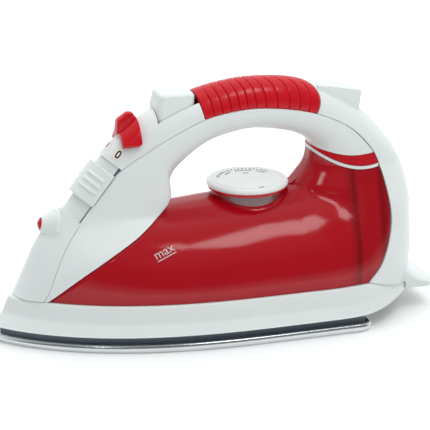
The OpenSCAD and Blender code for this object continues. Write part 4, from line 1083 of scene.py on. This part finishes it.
nought = oval((0.5, 1.2), (1.3, 2.1), 2.6, 40, 2)
three_bars = merge([bar(-1.2 + 0.95 * i, -1.5, -0.7 + 0.95 * i, 1.5) for i in range(3)])
two_bars = merge([bar(-0.9, -1.3, -0.4, 1.3), bar(0.4, -1.3, 0.9, 1.3)])
for tag, k, mark in (("near", 1, nought), ("far", -1, three_bars)):
    labelled(tag, 2.5, mark, (-48.9, -7.1 * k, 91.3), (-0.45, -0.8 * k, 0.4))
    # A thin slate sheet at each end of the track is painted shade of the track's opening.
    shade_pad = [(x, -k * (y - 0.4)) for x, y in gutter] + [(x, -k * (y + 0.35)) for x, y in gutter[::-1]]
    dress(prism("track_end_shade_" + tag, shade_pad, TRACK_TO - 4.6, TRACK_TO - 0.1, on_slide), slate)
labelled("top", 2.3, two_bars, (-52.0, 0, 94.6), (-0.76, 0, 0.65))

word = bpy.data.curves.new("max_word", "FONT")
word.body, word.size, word.align_x = "max", 6.4, "CENTER"
word_obj = link("max_word", word)
flat = bpy.data.meshes.new_from_object(word_obj.evaluated_get(bpy.context.evaluated_depsgraph_get()))
word_shape = ([(w.co.x, w.co.y) for w in flat.vertices], [list(f.vertices) for f in flat.polygons])
bpy.data.objects.remove(word_obj)
line = ([(x, y) for x in np.linspace(-5.2, 5.2, 12) for y in (-1.35, -0.85)], grid_faces(12, 2))
max_mark = decal("max_mark", merge([word_shape, line]), (-31.9, -29.2, 45.0), (-0.1, -0.85, 0.52),
                 (-0.36, 0.3, 0.85), tank, 0.04)
dress(max_mark, print_grey)


def sector(r0, r1, a0, a1, n=6):
    a = np.radians(np.linspace(a0, a1, n))
    return [(r * math.cos(x), r * math.sin(x)) for x in a for r in (r0, r1)], grid_faces(n, 2)


TICKS, TICK_FROM, TICK_STEP, TICK_HALF = 18, 28, 7.6, 1.9
ticks = []
for i in range(TICKS):
    mid = TICK_FROM + TICK_STEP * i
    ticks.append(sector(14.0, 15.6 if i % 3 else 15.0, mid - TICK_HALF, mid + TICK_HALF, 3))
ticks += [sector(11.6, 12.5, a0, a1) for a0, a1 in ((116, 138), (60, 102), (24, 50))]
ticks.append(sector(16.5, 17.4, -90, -80))
index_pts, index_faces = oval((0, 1.9), (0, 1.3), 2, 32)
index = ([(x + 1.6, y + 7.4) for x, y in index_pts], index_faces)
dial_view = ((DIAL_X, 0, DIAL_TOP), (0, 0, 1), (0, 1, 0), cap)
dress(decal("dial_print", merge(ticks), *dial_view, 0.04), ink, "dial")
dress(decal("dial_index", index, *dial_view), print_grey, "dial")

# Pieces shown as the part has them
KEPT = [
    (tank_red, ["tank_floor"]),
    (red, ["dial_ring"]),
    # The dial's collar gets the colour with painted reflection and shade.
    (collar_painted_reflection, ["dial_collar"]),
    (white, ["dial_wheel", "pump_piston"]),
    (rubber, ["pump_seal"]),
    (clear, ["pump_barrel", "suction_tube", "spray_tube", "filler_spout"]),
    (steel, ["dial_spindle", "dial_pawl", "inlet_ball", "lever_clip", "slider_clip", "sole_screw_front",
             "sole_screw_left", "sole_screw_right", "rear_screw"]),
]
for mat, names in KEPT:
    for name in names:
        nodes[name].data.materials.clear()
        nodes[name].data.materials.append(mat)


# Stage, light and camera, in metres
def paper():
    """White paper with a painted glow that grows away from the iron, for the eye and for reflections only."""
    mat = bpy.data.materials.new("floor")
    mat.use_nodes = True
    tree = mat.node_tree
    bsdf = tree.nodes["Principled BSDF"]
    bsdf.inputs["Base Color"].default_value = (0.82, 0.845, 0.84, 1)
    bsdf.inputs["Roughness"].default_value = 0.6
    bsdf.inputs["Emission Color"].default_value = (1, 1, 1, 1)
    far = add(tree, "VectorMath")
    far.operation = "LENGTH"
    tree.links.new(add(tree, "TexCoord").outputs["Object"], far.inputs[0])
    glow = add(tree, "MapRange", Value=far.outputs["Value"], From_Min=0.13, From_Max=0.27, To_Min=0.17,
               To_Max=0.5)
    rays = add(tree, "LightPath").outputs
    seen = join(tree, "MAXIMUM", rays["Is Camera Ray"], rays["Is Glossy Ray"])
    shown = join(tree, "MAXIMUM", seen, rays["Is Transmission Ray"])
    tree.links.new(join(tree, "MULTIPLY", glow.outputs["Result"], shown), bsdf.inputs["Emission Strength"])
    return mat


FLOOR_HALF, FLOOR_LEVEL = 4, -0.0002
floor_mesh = bpy.data.meshes.new("floor")
corners = [(-1, -1), (1, -1), (1, 1), (-1, 1)]
floor_pts = [(FLOOR_HALF * x, FLOOR_HALF * y, FLOOR_LEVEL) for x, y in corners]
floor_mesh.from_pydata(floor_pts, [], [(0, 1, 2, 3)])
floor = link("floor", floor_mesh)
floor.data.materials.append(paper())


def studio():
    """White behind and round the horizon, a dim room on the camera's side."""
    world = bpy.data.worlds.new("studio")
    world.use_nodes = True
    tree = world.node_tree
    sky = tree.nodes["Background"]
    sky.inputs["Color"].default_value = (0.96, 0.98, 1.0, 1)
    axes = add(tree, "SeparateXYZ", Vector=add(tree, "TexCoord").outputs["Generated"]).outputs
    behind = add(tree, "MapRange", Value=axes["Y"], From_Min=-0.35, From_Max=0.25, To_Min=0.2, To_Max=1.0)
    horizon = add(tree, "MapRange", Value=axes["Z"], From_Min=0.06, From_Max=0.2, To_Min=0.75, To_Max=0.0)
    bright = join(tree, "MAXIMUM", behind.outputs["Result"], horizon.outputs["Result"])
    tree.links.new(bright, sky.inputs["Strength"])
    return world


bpy.context.scene.world = studio()


def softbox(name, place, aim, size, radiance, mirrored=True, roll=0.0):
    """Rectangular lamp of a given brightness, which shiny pieces may or may not mirror."""
    data = bpy.data.lights.new(name, "AREA")
    data.shape, data.size, data.size_y = "RECTANGLE", size[0], size[1]
    data.energy = radiance * size[0] * size[1] * math.pi
    obj = link(name, data)
    obj.visible_glossy = mirrored
    obj.location = place
    facing = (Vector(aim) - Vector(place)).to_track_quat("-Z", "Y")
    obj.rotation_euler = (facing @ Quaternion((0, 0, 1), math.radians(roll))).to_euler()


softbox("key", (0.272, -0.403, 0.95), (0.272, -0.403, 0), (0.36, 0.24), 5.6, roll=50)
softbox("spot", (-0.42, -0.575, 0.885), (0.056, -0.013, 0.072), (0.13, 0.1), 7.5)
softbox("above", (0.12, 0.05, 1.25), (0, 0, 0.05), (1.3, 1.1), 1.3, False)
softbox("front", (0.1, -0.8, 1.0), (0, 0, 0.06), (0.9, 0.6), 2.3, False)

AZIMUTH, ELEVATION, DISTANCE = math.radians(-18.5), math.radians(18.5), 1.2
camera_data = bpy.data.cameras.new("camera")
camera_data.sensor_width, camera_data.lens = 36.0, 200.9
camera_data.clip_start, camera_data.clip_end = 0.01, 20
camera = link("camera", camera_data)
toward = Vector((math.sin(AZIMUTH) * math.cos(ELEVATION), -math.cos(AZIMUTH) * math.cos(ELEVATION),
                 math.sin(ELEVATION)))
camera.location = Vector((0.003, 0, 0.0526)) + toward * DISTANCE
camera.rotation_euler = (-toward).to_track_quat("-Z", "Y").to_euler()
bpy.context.scene.camera = camera
bpy.context.scene.view_settings.view_transform = "Standard"
